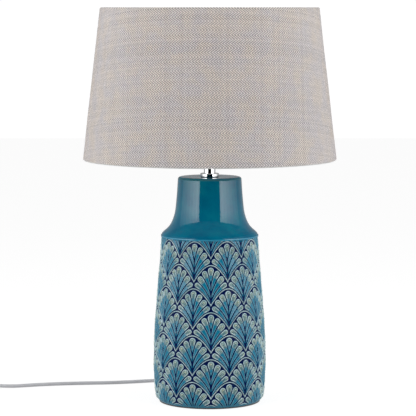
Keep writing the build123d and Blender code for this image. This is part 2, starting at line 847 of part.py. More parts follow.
with BuildPart() as lead_coil:
    with BuildSketch(Plane(origin=(*coil_centre, 0), x_dir=(1, 0, 0), z_dir=(0, -1, 0))):
        with BuildLine():
            Polyline([(coil_mean_radius + out, up) for out, up in coil_section(0)], close=True)
        make_face()
    revolve(axis=Axis((*coil_centre, 0), (0, 0, 1)))
save(lead_coil, "lead_coil")

with BuildPart() as coil_tie:
    tie_middle = (coil_centre[0] - coil_mean_radius, coil_centre[1] - tie_width / 2, 0)
    with BuildSketch(Plane(origin=tie_middle, x_dir=(-1, 0, 0), z_dir=(0, 1, 0))):
        with BuildLine():
            Polyline(coil_section(touch_gap + tie_thickness), close=True)
        make_face()
        with BuildLine():
            Polyline(coil_section(touch_gap), close=True)
        make_face(mode=Mode.SUBTRACT)
    extrude(amount=tie_width)
save(coil_tie, "coil_tie")


# ==== In-line switch =========================================================================

def switch_outline():
    """Plan of the switch: a full-width body with a tapered nose at each end."""
    with BuildLine() as outline:
        Polyline(
            (switch_half_body, -switch_half_width), (switch_half_length, -switch_half_nose),
            (switch_half_length, switch_half_nose), (switch_half_body, switch_half_width),
            (-switch_half_body, switch_half_width), (-switch_half_length, switch_half_nose),
            (-switch_half_length, -switch_half_nose), (-switch_half_body, -switch_half_width),
            close=True,
        )
    make_face(outline.edges())


def cut_lead_bore():
    """The bore for the lead, right through both noses."""
    with BuildSketch(Plane(origin=(switch_centre[0] - switch_half_length - over_cut, switch_centre[1],
                                   switch_split),
                           z_dir=(1, 0, 0))) as bore:
        Circle(lead_radius + slip_gap)
    extrude(bore.sketch, amount=2 * (switch_half_length + over_cut), mode=Mode.SUBTRACT)


def switch_hollow(foot, top):
    """The room inside, which stops short of the noses."""
    with BuildSketch(Plane(origin=(*switch_centre, foot))) as room:
        Rectangle(2 * switch_half_body, 2 * (switch_half_width - switch_wall))
    extrude(room.sketch, amount=top - foot, mode=Mode.SUBTRACT)


with BuildPart() as switch_base:
    with BuildSketch(Plane(origin=(*switch_centre, 0))):
        switch_outline()
    extrude(amount=switch_split - touch_gap)
    fillet(switch_base.edges().filter_by(Axis.Z), switch_edge_round)
    chamfer(switch_base.edges().group_by(Axis.Z)[0], switch_edge_round / 2)
    switch_hollow(switch_wall, switch_split)
    cut_lead_bore()
    with Locations(*[(x, y, 0) for x, y in switch_screw_places]):
        Hole(switch_screw_radius + touch_gap, depth=switch_split)
save(switch_base, "switch_base")

with BuildPart() as switch_cover:
    with BuildSketch(Plane(origin=(*switch_centre, switch_split))):
        switch_outline()
    extrude(amount=switch_height - switch_split)
    fillet(switch_cover.edges().filter_by(Axis.Z), switch_edge_round)
    fillet(switch_cover.edges().group_by(Axis.Z)[-1], switch_edge_round)
    switch_hollow(switch_split, switch_height - switch_wall)
    cut_lead_bore()
    # Cheeks that carry the rocker's pin, hanging from the roof of the cover.
    cheek_middle = rocker_width / 2 + free_gap + cheek_thickness / 2
    with Locations(*[(switch_centre[0], switch_centre[1] + s * cheek_middle, cheek_foot) for s in (-1, 1)]):
        Box(cheek_length, cheek_thickness, switch_height - switch_wall - cheek_foot,
            align=(Align.CENTER, Align.CENTER, Align.MIN))
    with BuildSketch(Plane(origin=(*switch_centre, 0))):
        Rectangle(rocker_length + 2 * rocker_window_gap, rocker_width + 2 * free_gap)
    extrude(amount=switch_height + over_cut, mode=Mode.SUBTRACT)
    with BuildSketch(Plane(origin=(switch_centre[0], switch_centre[1] - rocker_pin_length / 2 - free_gap,
                                   rocker_axis_height), z_dir=(0, 1, 0))):
        Circle(rocker_pin_radius + touch_gap)
    extrude(amount=rocker_pin_length + 2 * free_gap, mode=Mode.SUBTRACT)
save(switch_cover, "switch_cover")

with BuildPart() as switch_screws:
    for x, y in switch_screw_places:
        with BuildSketch(Plane(origin=(x, y, switch_wall / 2))):
            Circle(switch_screw_radius)
        extrude(amount=switch_split - switch_wall / 2 - touch_gap)
save(switch_screws, "switch_screws")

# The rocker rests tipped to its off side.
rocker_place = Plane(origin=(*switch_centre, rocker_axis_height)).rotated((0, rocker_rest_tilt, 0))

with BuildPart() as switch_rocker:
    with BuildSketch(Plane(origin=rocker_place.origin, x_dir=rocker_place.x_dir,
                           z_dir=-rocker_place.y_dir)):
        with BuildLine():
            half = rocker_length / 2
            Polyline((-half, rocker_crown), (-half, 0), (-half / 2, rocker_crown - rocker_depth),
                     (half / 2, rocker_crown - rocker_depth), (half, 0), (half, rocker_crown))
            ThreePointArc((half, rocker_crown), (0, rocker_crown - rocker_dish), (-half, rocker_crown))
        make_face()
        Circle(rocker_pin_radius, mode=Mode.SUBTRACT)
    extrude(amount=rocker_width / 2, both=True)
save(switch_rocker, "switch_rocker")

with BuildPart() as rocker_pin:
    with BuildSketch(Plane(origin=(switch_centre[0], switch_centre[1] - rocker_pin_length / 2,
                                   rocker_axis_height), z_dir=(0, 1, 0))):
        Circle(rocker_pin_radius)
    extrude(amount=rocker_pin_length)
save(rocker_pin, "rocker_pin")

with BuildPart() as rocker_contact:
    with BuildSketch(rocker_place.offset(rocker_crown - rocker_depth - rocker_contact_thickness)):
        Rectangle(rocker_contact_length, rocker_contact_width)
    extrude(amount=rocker_contact_thickness)
save(rocker_contact, "rocker_contact")

with BuildPart() as switch_fixed_contacts:
    # One strip each side of the rocker: a terminal block with a post that the bridge meets.
    for side in (-1, 1):
        middle = switch_centre[0] + side * fixed_contact_reach
        with Locations((middle, switch_centre[1] + fixed_contact_offset, switch_wall + touch_gap)):
            Box(fixed_contact_length, fixed_contact_width, fixed_contact_height,
                align=(Align.CENTER, Align.CENTER, Align.MIN))
save(switch_fixed_contacts, "switch_fixed_contacts")

with BuildPart() as switch_cores:
    # The neutral core runs straight through, and each live core stops at its terminal.
    lead_gap = switch_half_length - lead_in_switch
    core_spans = [
        (-lead_gap, lead_gap, -core_radius - touch_gap),
        (-lead_gap, -fixed_contact_reach - fixed_contact_length / 2, core_radius + touch_gap),
        (fixed_contact_reach + fixed_contact_length / 2, lead_gap, core_radius + touch_gap),
    ]
    for start, end, across in core_spans:
        with BuildSketch(Plane(origin=(switch_centre[0] + start, switch_centre[1] + across, switch_split),
                               z_dir=(1, 0, 0))):
            Circle(core_radius)
        extrude(amount=end - start)
save(switch_cores, "switch_cores")

with BuildPart() as switch_cord_clamps:
    # A bar at each end presses the jacket down on the base.
    for side in (-1, 1):
        with Locations((switch_centre[0] + side * clamp_reach, switch_centre[1],
                        switch_split + lead_radius + touch_gap)):
            Box(clamp_length, clamp_width, clamp_height, align=(Align.CENTER, Align.CENTER, Align.MIN))
save(switch_cord_clamps, "switch_cord_clamps")


# ==== Plug ===================================================================================

plug_y, plug_z = plug_axis
with BuildPart() as plug_body:
    with BuildSketch(Plane(origin=(plug_face_x, plug_y, plug_z), x_dir=(0, 1, 0), z_dir=(1, 0, 0))):
        RectangleRounded(plug_face_width, plug_height, plug_corner_radius)
    with BuildSketch(Plane(origin=(plug_face_x - plug_body_length, plug_y, plug_z),
                           x_dir=(0, 1, 0), z_dir=(1, 0, 0))):
        RectangleRounded(plug_rear_width, plug_height, plug_corner_radius)
    loft()
    with BuildSketch(Plane(origin=(plug_face_x - plug_body_length, plug_y, plug_z), z_dir=(-1, 0, 0))):
        Circle(plug_sleeve_radius)
    with BuildSketch(Plane(origin=(plug_face_x - plug_body_length - plug_sleeve_length, plug_y, plug_z),
                           z_dir=(-1, 0, 0))):
        Circle(plug_sleeve_tip_radius)
    loft()
    with BuildSketch(Plane(origin=(plug_face_x - plug_body_length - plug_sleeve_length, plug_y, plug_z),
                           z_dir=(1, 0, 0))):
        Circle(lead_radius + touch_gap)
    extrude(amount=plug_sleeve_length, mode=Mode.SUBTRACT)
    with BuildSketch(Plane(origin=(plug_face_x, plug_y, plug_z), x_dir=(0, 1, 0), z_dir=(1, 0, 0))):
        with Locations((-pin_pitch / 2, 0), (pin_pitch / 2, 0)):
            Circle(pin_core_radius)
    extrude(amount=-pin_root_depth, mode=Mode.SUBTRACT)
save(plug_body, "plug_body")


def pin_pair(start, length, radius, bore=0.0):
    """Two round pieces on the pins' axes, from start in front of the plug's face."""
    with BuildSketch(Plane(origin=(plug_face_x + start, plug_y, plug_z), x_dir=(0, 1, 0),
                           z_dir=(1, 0, 0))) as pair:
        with Locations((-pin_pitch / 2, 0), (pin_pitch / 2, 0)):
            Circle(radius)
            if bore:
                Circle(bore, mode=Mode.SUBTRACT)
    extrude(pair.sketch, amount=length)


with BuildPart() as pin_sleeves:
    pin_pair(0, pin_sleeve_length, pin_sleeve_radius, bore=pin_core_radius)
save(pin_sleeves, "pin_sleeves")

with BuildPart() as plug_pins:
    pin_pair(-pin_root_depth, pin_root_depth + pin_sleeve_length, pin_core_radius)
    pin_pair(pin_sleeve_length, pin_length - pin_sleeve_length, pin_radius)
    chamfer(plug_pins.faces().sort_by(Axis.X)[-2:].edges(), pin_tip_chamfer)
save(plug_pins, "plug_pins")

print(f"ceramic wall {ceramic_wall}, shade {shade_foot:.1f} to {shade_top:.1f}, bulb top",
      f"{bulb_tip + bulb_length:.1f}, skirt top {skirt_top:.1f}")
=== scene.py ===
# %% [markdown]
# # A table lamp with a moulded ceramic base and a cloth shade
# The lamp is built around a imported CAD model, which gives every piece its place and every
# moving piece its body. All sizes are in metres, +Z is up, and -Y is the front. The cells
# below make one piece or one finish each, from the camera and the mains lead to the shade.

from math import cos, hypot, pi, radians, sin

import bmesh
import bpy
import numpy as np
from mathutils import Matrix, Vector


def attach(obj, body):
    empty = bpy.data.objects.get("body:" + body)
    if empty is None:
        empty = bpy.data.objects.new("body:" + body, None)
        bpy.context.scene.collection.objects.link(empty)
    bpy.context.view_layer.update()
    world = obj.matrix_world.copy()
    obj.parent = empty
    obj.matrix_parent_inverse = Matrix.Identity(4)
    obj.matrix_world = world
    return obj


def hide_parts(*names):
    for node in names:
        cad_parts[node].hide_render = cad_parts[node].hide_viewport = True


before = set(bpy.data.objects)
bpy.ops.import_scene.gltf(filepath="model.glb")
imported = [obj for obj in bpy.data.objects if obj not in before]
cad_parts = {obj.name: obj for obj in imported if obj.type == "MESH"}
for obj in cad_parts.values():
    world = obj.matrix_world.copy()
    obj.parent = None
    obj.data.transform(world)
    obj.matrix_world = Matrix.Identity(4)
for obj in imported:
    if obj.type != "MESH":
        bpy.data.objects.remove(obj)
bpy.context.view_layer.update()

MM = 0.001
scene = bpy.context.scene

# %% [markdown]
# ## The camera
# A catalogue lamp is shot from far away with a long lens, so that its sides stay almost
# parallel. The camera stands about three metres in front, level with the top of the shade,
# and tips down a little. A short lens close by would flare the shade and shrink the foot.

# %% Camera
CAMERA_DISTANCE = 2.948
CAMERA_HEIGHT = 0.5455
CAMERA_SIDE = -0.0023
LENS = 185.2
AIM = Vector((CAMERA_SIDE, 0.0, 0.2689))

camera_data = bpy.data.cameras.new("camera")
camera_data.lens = LENS
camera_data.sensor_width = 36.0
camera_data.clip_end = 50.0
camera = bpy.data.objects.new("camera", camera_data)
camera.location = (CAMERA_SIDE, -CAMERA_DISTANCE, CAMERA_HEIGHT)
camera.rotation_euler = (AIM - camera.location).to_track_quat("-Z", "Y").to_euler()
scene.collection.objects.link(camera)
scene.camera = camera
print("camera tips down", round(90 - camera.rotation_euler[0] * 180 / pi, 2), "degrees")

# %% [markdown]
# ## The mains lead
# The lead is one round white cable. It leaves the back of the base through a grommet, lies
# on the table to the in-line switch, and the spare length beyond the switch is wound into a
# coil with a tie, as a lamp comes out of its box. A cable has one smooth centreline, so a
# NURBS curve with a few given points and a round bevel is nearer to it than a chain of
# arcs. The coil's turns are more points on the same curve, sixteen to a turn.

# %% Helpers for a cable's curve
def to_metres(points):
    """Millimetre points as metres."""
    return [tuple(value * MM for value in point) for point in points]


def cable_curve(name, points, radius):
    """A round cable along a smooth NURBS line with these control points."""
    data = bpy.data.curves.new(name, "CURVE")
    data.dimensions = "3D"
    spline = data.splines.new("NURBS")
    spline.points.add(len(points) - 1)
    for control, place in zip(spline.points, points):
        control.co = (*place, 1.0)
        control.radius = radius
    spline.order_u = 3
    spline.use_endpoint_u = True
    spline.resolution_u = 10
    data.bevel_depth = 1.0      # times each point's own radius
    data.bevel_resolution = 6
    data.use_fill_caps = True
    cable = bpy.data.objects.new(name, data)
    scene.collection.objects.link(cable)
    return cable


# %% The lead from the lamp to the switch
LEAD_RADIUS = 2.5 * MM

lamp_side_route = to_metres([
    (0, 49, 9), (0, 80, 9), (0, 116, 9), (-14, 145, 4.4), (-44, 155, 2.6), (-86, 138.5, 2.6),
    (-138, 123, 2.6), (-184, 119, 2.6), (-224, 113, 2.6), (-258, 103, 2.6), (-286, 91, 2.8),
    (-320, 80, 7), (-355, 80, 7),
])
lamp_side_lead = cable_curve("lamp_side_lead", lamp_side_route, LEAD_RADIUS)
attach(lamp_side_lead, "stand")
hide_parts("lead_lamp_side")

# %% The lead from the switch, through the coil, to the plug
COIL_CENTRE = (-493.0, 113.5)
TURN_POINTS = 16
COIL_TURNS = 6.5
HULL_SHRINK = 0.985     # a NURBS line runs this share of the way out to its control points

# (turns so far, radius, height): four rings on the table, then two and a half on top of them.
coil_stages = np.array([
    (0.0, 36.0, 3.4), (1.0, 36.0, 3.4), (1.25, 31.0, 3.4), (2.0, 31.0, 3.4),
    (2.25, 26.0, 3.4), (3.0, 26.0, 3.4), (3.25, 21.0, 3.4), (4.0, 21.0, 3.4),
    (4.12, 19.6, 6.2), (4.25, 23.5, 7.9), (5.0, 23.5, 7.8), (5.06, 24.5, 8.5),
    (5.25, 28.5, 7.8), (6.0, 28.5, 7.8), (6.06, 29.5, 8.5), (6.25, 33.5, 7.8), (6.5, 33.5, 7.8),
])


def coil_point(turn):
    """Centreline of the coil after so many turns, clockwise from above, from its front."""
    radius = np.interp(turn, coil_stages[:, 0], coil_stages[:, 1]) / HULL_SHRINK
    height = np.interp(turn, coil_stages[:, 0], coil_stages[:, 2])
    angle = -pi / 2 - 2 * pi * turn
    return (COIL_CENTRE[0] + radius * cos(angle), COIL_CENTRE[1] + radius * sin(angle), height)


coil_points = [coil_point(step / TURN_POINTS) for step in range(1, int(COIL_TURNS * TURN_POINTS))]
plug_side_route = to_metres(
    [(-395, 80, 7), (-430, 80, 7), (-465, 78.6, 3.7), (-485, 77.3, 3.4)]
    + coil_points
    + [(-486, 147.2, 7.8), (-467, 146.2, 7.6), (-441, 142, 6.9), (-416, 142, 6.9)]
)
plug_side_lead = cable_curve("plug_side_lead", plug_side_route, LEAD_RADIUS)
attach(plug_side_lead, "stand")
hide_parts("lead_plug_side", "lead_coil", "lead_tail")
print("lead points", len(lamp_side_route), len(plug_side_route))

# %% [markdown]
# ## The studio
# The lamp stands on a pale table that glows by itself, against a white backdrop, in a room
# that is dimmer than its backdrop. Six tall panels stand side by side on each side of the
# lamp, bright at the front and weaker round to the back, and the space between the two rows,
# where the camera stands, is dark. That dark gap draws the deep strip down the middle of the
# glazed neck. A black flag makes the gap: it is a real sheet that stays in its place, so the
# reflections don't move with the view. The table doesn't light the lamp or show in it.

# %% Room and table
ROOM_LIGHT = 0.42
BACKDROP_LIGHT = 1.02

world = bpy.data.worlds.new("white_room")
world.use_nodes = True
room = world.node_tree.nodes["Background"]
room.inputs["Color"].default_value = (1.0, 1.0, 1.0, 1.0)
room.inputs["Strength"].default_value = ROOM_LIGHT
backdrop = world.node_tree.nodes.new("ShaderNodeBackground")
backdrop.inputs["Color"].default_value = (1.0, 1.0, 1.0, 1.0)
backdrop.inputs["Strength"].default_value = BACKDROP_LIGHT
seen = world.node_tree.nodes.new("ShaderNodeLightPath")
either = world.node_tree.nodes.new("ShaderNodeMixShader")
world.node_tree.links.new(seen.outputs["Is Camera Ray"], either.inputs[0])
world.node_tree.links.new(room.outputs[0], either.inputs[1])
world.node_tree.links.new(backdrop.outputs[0], either.inputs[2])
world.node_tree.links.new(either.outputs[0], world.node_tree.nodes["World Output"].inputs["Surface"])
scene.world = world
scene.view_settings.view_transform = "Standard"


def flat_sheet(name, corners):
    """One rectangular sheet with these four corners."""
    data = bpy.data.meshes.new(name)
    data.from_pydata(corners, [], [(0, 1, 2, 3)])
    piece = bpy.data.objects.new(name, data)
    scene.collection.objects.link(piece)
    return piece


TABLE_HALF = 6.0
TABLE_TOP = -0.0004      # a hair below the felt, so the two faces never lie in one plane
floor = flat_sheet("table_top", [(-TABLE_HALF, -TABLE_HALF, TABLE_TOP), (TABLE_HALF, -TABLE_HALF, TABLE_TOP),
                                 (TABLE_HALF, TABLE_HALF, TABLE_TOP), (-TABLE_HALF, TABLE_HALF, TABLE_TOP)])
floor.visible_diffuse = False
floor.visible_glossy = False


def stage_finish(piece, name, colour, glow):
    """A matt stage colour that may glow by itself."""
    finish = bpy.data.materials.new(name)
    finish.use_nodes = True
    shader = finish.node_tree.nodes["Principled BSDF"]
    shader.inputs["Base Color"].default_value = (*colour, 1.0)
    shader.inputs["Roughness"].default_value = 1.0
    shader.inputs["Specular IOR Level"].default_value = 0.0
    shader.inputs["Emission Color"].default_value = (1.0, 1.0, 1.0, 1.0)
    shader.inputs["Emission Strength"].default_value = glow
    piece.data.materials.append(finish)


stage_finish(floor, "pale_table", (0.25, 0.25, 0.25), 0.86)

# From below the table is clear, so that the foot can be looked at.
table_tree = floor.data.materials[0].node_tree
facing = table_tree.nodes.new("ShaderNodeNewGeometry")
clear = table_tree.nodes.new("ShaderNodeBsdfTransparent")
one_sided = table_tree.nodes.new("ShaderNodeMixShader")
table_tree.links.new(facing.outputs["Backfacing"], one_sided.inputs[0])
table_tree.links.new(table_tree.nodes["Principled BSDF"].outputs[0], one_sided.inputs[1])
table_tree.links.new(clear.outputs[0], one_sided.inputs[2])
table_tree.links.new(one_sided.outputs[0], table_tree.nodes["Material Output"].inputs["Surface"])

# %% Light panels and the black flag
def soft_box(name, azimuth, distance, width, foot, top, strength):
    """A tall panel light, at an azimuth from the front, facing the lamp."""
    light = bpy.data.lights.new(name, "AREA")
    light.shape = "RECTANGLE"
    light.size = width
    light.size_y = top - foot
    light.energy = strength * width * (top - foot) * pi
    light.color = (1.0, 1.0, 1.0)
    box = bpy.data.objects.new(name, light)
    turn = radians(azimuth)
    box.location = (distance * sin(turn), -distance * cos(turn), (foot + top) / 2)
    box.rotation_euler = (Vector((0, 0, box.location.z)) - box.location).to_track_quat("-Z", "Y").to_euler()
    box.visible_camera = False
    scene.collection.objects.link(box)
    return box


PANEL_DISTANCE, PANEL_WIDTH, PANEL_FOOT, PANEL_TOP = 1.5, 0.32, 0.02, 1.9

# Azimuth from the front and strength of the panels at each side, brightest at the front.
PANELS = [(41.3, 3.2), (53.5, 2.7), (65.7, 2.1), (77.9, 1.5), (90.1, 0.9), (102.3, 0.5)]
for side in (-1, 1):
    for azimuth, strength in PANELS:
        soft_box(f"soft_box_{side * azimuth:.0f}", side * azimuth,
                 PANEL_DISTANCE, PANEL_WIDTH, PANEL_FOOT, PANEL_TOP, strength)

FLAG_DISTANCE = 1.7
flag_half = FLAG_DISTANCE * 0.9
flag = flat_sheet("black_flag", [(-flag_half, -FLAG_DISTANCE, 0.002), (flag_half, -FLAG_DISTANCE, 0.002),
                                 (flag_half, -FLAG_DISTANCE, 2.4), (-flag_half, -FLAG_DISTANCE, 2.4)])
flag.visible_camera = False
stage_finish(flag, "black_cloth", (0.0, 0.0, 0.0), 0.0)

# %% [markdown]
# ## Helpers for finishes
# Every finish is a small node tree round one Principled shader. Each helper adds one kind of
# node, so a finish reads as a few lines: a noise, a ramp, a mix, a bump. Numbers that are
# the same all over a surface are set on the shader itself.

# %% Node helpers
def new_finish(name, **sockets):
    """A material with one Principled shader, and these values on its sockets."""
    finish = bpy.data.materials.new(name)
    finish.use_nodes = True
    shader = finish.node_tree.nodes["Principled BSDF"]
    for socket, value in sockets.items():
        value = (*value, 1.0) if isinstance(value, tuple) and len(value) == 3 else value
        shader.inputs[socket.replace("_", " ")].default_value = value
    return finish, finish.node_tree, shader


def add_node(tree, kind, inputs=(), **settings):
    """One node, with values or links for some of its inputs."""
    node = tree.nodes.new(kind)
    for key, value in settings.items():
        setattr(node, key, value)
    for key, value in dict(inputs).items():
        if isinstance(value, bpy.types.NodeSocket):
            tree.links.new(value, node.inputs[key])
        else:
            node.inputs[key].default_value = value
    return node


def object_place(tree):
    """Where a point is in the lamp's own frame."""
    return add_node(tree, "ShaderNodeTexCoord").outputs["Object"]


def noise(tree, place, scale, detail=3.0, roughness=0.55):
    """A cloudy grey between 0 and 1."""
    return add_node(tree, "ShaderNodeTexNoise", {
        "Vector": place, "Scale": scale, "Detail": detail, "Roughness": roughness}).outputs["Fac"]


def ramp(tree, factor, stops):
    """Colours along a factor. Each stop is (place, (r, g, b))."""
    node = add_node(tree, "ShaderNodeValToRGB", {"Fac": factor})
    bar = node.color_ramp.elements
    while len(bar) < len(stops):
        bar.new(0.5)
    for element, (place, colour) in zip(bar, stops):
        element.position = place
        element.color = (*colour, 1.0)
    return node.outputs["Color"]


def remap(tree, value, low, high, to_low=0.0, to_high=1.0):
    """Stretch one range of a value over another, held at the ends."""
    return add_node(tree, "ShaderNodeMapRange", {
        "Value": value, "From Min": low, "From Max": high, "To Min": to_low, "To Max": to_high,
    }).outputs["Result"]


def sums(tree, operation, first, second=None, third=None):
    """One step of arithmetic on two or three values."""
    node = add_node(tree, "ShaderNodeMath", operation=operation)
    for socket, value in zip(node.inputs, (first, second, third)):
        if isinstance(value, bpy.types.NodeSocket):
            tree.links.new(value, socket)
        elif value is not None:
            socket.default_value = value
    return node.outputs[0]


def blend_colours(tree, factor, first, second, kind="MIX"):
    """Two colours laid over each other."""
    node = add_node(tree, "ShaderNodeMix", data_type="RGBA", blend_type=kind)
    for socket, value in ((node.inputs[0], factor), (node.inputs[6], first), (node.inputs[7], second)):
        if isinstance(value, bpy.types.NodeSocket):
            tree.links.new(value, socket)
        else:
            socket.default_value = (*value, 1.0) if isinstance(value, tuple) else value
    return node.outputs[2]


def bumped(tree, shader, height, depth, strength=1.0):
    """Fine relief on the shader's normal. Depth is in metres."""
    node = add_node(tree, "ShaderNodeBump", {"Height": height, "Distance": depth, "Strength": strength})
    tree.links.new(node.outputs["Normal"], shader.inputs["Normal"])


def attribute(tree, name):
    """A number stored on the mesh's points."""
    return add_node(tree, "ShaderNodeAttribute", attribute_name=name).outputs["Fac"]


def coat_piece(piece, finish):
    """Give a piece one finish all over."""
    piece.data.materials.clear()
    piece.data.materials.append(finish)


# %% [markdown]
# ## Helpers for shapes
# Most of a lamp is turned: collars, rings, the bulb and the shade are outlines spun about
# one axis. One helper spins an outline into quads. It takes the outline as (radius, height)
# in millimetres and can round each corner a little, because no real edge is quite sharp.

# %% Turned pieces
def mesh_piece(name, points, faces, body=None, slot=None, finish=None, nodes=(), sharp=35.0):
    """A mesh object from points in metres, smooth but for its sharp edges."""
    data = bpy.data.meshes.new(name)
    data.from_pydata(points, [], faces)
    data.update()
    data.shade_smooth()
    data.set_sharp_from_angle(angle=radians(sharp))
    piece = bpy.data.objects.new(name, data)
    scene.collection.objects.link(piece)
    finish_piece(piece, body, finish, nodes)
    return piece


def finish_piece(piece, body, finish, nodes=()):
    """Say which body a piece rides on, what it is made of and which CAD nodes it stands for."""
    if finish is not None:
        coat_piece(piece, finish)
    if body is not None:
        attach(piece, body)
    if nodes:
        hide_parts(*nodes)


def eased(outline, reach, steps=3, closed=True):
    """Round each corner of an outline, by up to reach at each side of it."""
    count = len(outline)
    result = []
    for index, corner in enumerate(outline):
        here = Vector(corner)
        if not closed and index in (0, count - 1):
            result.append(corner)
            continue
        before, after = Vector(outline[index - 1]), Vector(outline[(index + 1) % count])
        turn = (here - before).angle(after - here)
        if turn < radians(20) or here.x < 1e-6:
            result.append(corner)
            continue
        cut = min(reach, 0.4 * (here - before).length, 0.4 * (after - here).length)
        start = here + (before - here).normalized() * cut
        end = here + (after - here).normalized() * cut
        for step in range(steps + 1):
            t = step / steps
            place = start * (1 - t) ** 2 + here * 2 * t * (1 - t) + end * t ** 2
            result.append((place.x, place.y))
    return result


def spun(outline, segments, centre=(0.0, 0.0, 0.0), closed=True):
    """Points and quads of an outline spun about a vertical axis. Outline in millimetres."""
    points, faces = [], []
    count = len(outline)
    for step in range(segments):
        angle = 2 * pi * step / segments
        for radius, height in outline:
            points.append(((centre[0] + radius * cos(angle)) * MM, (centre[1] + radius * sin(angle)) * MM,
                           (centre[2] + height) * MM))
    for step in range(segments):
        here, following = step * count, (step + 1) % segments * count
        for index in range(count if closed else count - 1):
            after = (index + 1) % count
            faces.append((here + index, following + index, following + after, here + after))
    return points, faces


def clean_mesh(piece):
    """Merge doubled points, drop empty faces, and turn every face outwards."""
    work = bmesh.new()
    work.from_mesh(piece.data)
    bmesh.ops.remove_doubles(work, verts=work.verts, dist=1e-6)
    bmesh.ops.dissolve_degenerate(work, edges=work.edges, dist=1e-7)
    bmesh.ops.recalc_face_normals(work, faces=work.faces)
    work.to_mesh(piece.data)
    work.free()


def turned_piece(name, outline, segments=96, ease=0.3, **words):
    """A piece turned about the lamp's axis from a closed outline."""
    points, faces = spun(eased(outline, ease) if ease else outline, segments)
    piece = mesh_piece(name, points, faces, **words)
    clean_mesh(piece)
    return piece


# %% [markdown]
# ## The ceramic base: its outline
# The base is slip-cast stoneware: a wide foot with a rounded corner, a belly, a shoulder and
# a smooth neck that tapers a little. The outline follows the same measured heights as the CAD body, one
# smooth curve through them for the wall, so the glazed skin lies on the CAD solid.

# %% Outline of the ceramic
FOOT_HEIGHT, CORNER_HEIGHT = 1.5, 12.0
FOOT_RADIUS, BASE_RADIUS = 71.0, 76.5
WALL_HEIGHTS = [12.0, 54.5, 117.5, 165.5, 228.0]
WALL_RADII = [76.5, 78.7, 76.4, 72.6, 67.7]
CORNER_POWER = 2.4

wall_curve = np.polyfit(WALL_HEIGHTS, WALL_RADII, 4)


def wall_radius(height):
    """Outer radius of the patterned wall at these heights, in millimetres."""
    height = np.asarray(height, float)
    wall = np.polyval(wall_curve, height)
    drop = np.clip((CORNER_HEIGHT - height) / (CORNER_HEIGHT - FOOT_HEIGHT), 0, 1)
    return np.where(height < CORNER_HEIGHT,
                    BASE_RADIUS - (BASE_RADIUS - FOOT_RADIUS) * drop ** CORNER_POWER, wall)


print("wall radii", np.round(wall_radius(np.array([2, 12, 30, 54.5, 80, 117.5, 165.5, 200, 228])), 1))

# %% [markdown]
# ## The scallop pattern
# The relief is a fan repeated like fish scales: eighteen columns round the base, and each
# second column starts half a row higher. In one fan, long petals spread from a point at the
# bottom. Each petal is a teardrop with a raised rim: a round bulb at the top and a thin stem
# below. A raised arch closes the fan. The pattern is drawn once as curves in millimetres,
# and every point of the wall looks up how deep it lies in the lowest fan that covers it.

# %% One fan, drawn as curves
COLUMNS = 18
HALF_FAN = 25.3                 # from a fan's middle to the next column's middle
ROW_PITCH = 63.77               # from one fan to the next in the same column
ROW_START = 16.5                # the lowest whole fan's point, on the front column
ARCH_FOOT, ARCH_RISE, ARCH_POWER = 32.0, 21.6, 0.92

# Each petal: its foot, a point that bends it, its bulb's centre, its radius there and its
# radius at the foot. The fan is the same on both sides, so only one half is drawn.
petals = [
    ((0.0, 30.5), (0.0, 38.0), (0.0, 45.8), 4.3, 0.4),
    ((0.6, 18.0), (3.2, 31.0), (9.1, 41.6), 3.9, 0.4),
    ((0.6, 8.5), (5.0, 22.5), (15.4, 34.0), 4.2, 0.4),
    ((0.6, 2.0), (8.0, 18.5), (20.4, 26.2), 3.4, 0.3),
]
PETAL_STEPS = 36
PETAL_SWELL = 0.82
BULB_REACH = (7.6, 5.2)         # the bulb runs out between these distances from its centre


def step_between(value, low, high):
    """0 below low, 1 above high, and a smooth rise between."""
    t = np.clip((value - low) / (high - low), 0, 1)
    return t * t * (3 - 2 * t)


def arch_top(across):
    """Height of the fan's arch above its point, at a distance from its middle."""
    share = np.clip(np.cos(pi / 2 * np.clip(across / HALF_FAN, 0, 1)), 0, 1)
    return ARCH_FOOT + ARCH_RISE * share ** ARCH_POWER


def ridge(value, middle, width):
    """A rounded ridge of height 1."""
    return np.exp(-((value - middle) / width) ** 2)


# %% Which fan covers a point
def fan_place(degrees_round, height):
    """Distance from the middle, and height above the point, in the fan that covers each place."""
    column = degrees_round / (360 / COLUMNS)
    left = np.floor(column)
    share = column - left
    best_foot = np.full(height.shape, np.inf)
    best_across = np.zeros(height.shape)
    for offset, across in ((0, share * HALF_FAN), (1, (1 - share) * HALF_FAN)):
        start = ROW_START + np.where((left + offset) % 2 == 0, 0.0, ROW_PITCH / 2)
        top = arch_top(across)
        foot = start + np.ceil((height - top - start) / ROW_PITCH) * ROW_PITCH
        lower = foot < best_foot
        best_foot = np.where(lower, foot, best_foot)
        best_across = np.where(lower, across, best_across)
    return best_across, height - best_foot


# %% How high each point of the pattern stands
RIM_INSET, STEM_RIM_WIDTH, BULB_RIM_WIDTH = 0.72, 0.26, 0.50
GROOVE_INSET = 1.95
STEM_LIFT, RIM_LIFT, ARCH_LIFT, BULB_LIFT, BULB_DOME, SLOT_DEPTH, GROOVE_DEPTH = (
    0.75, 1.35, 1.6, 1.35, 0.95, 1.7, 0.9)
RELIEF_DEPTH = 2.2
STEM_RIM_TONE = 0.35


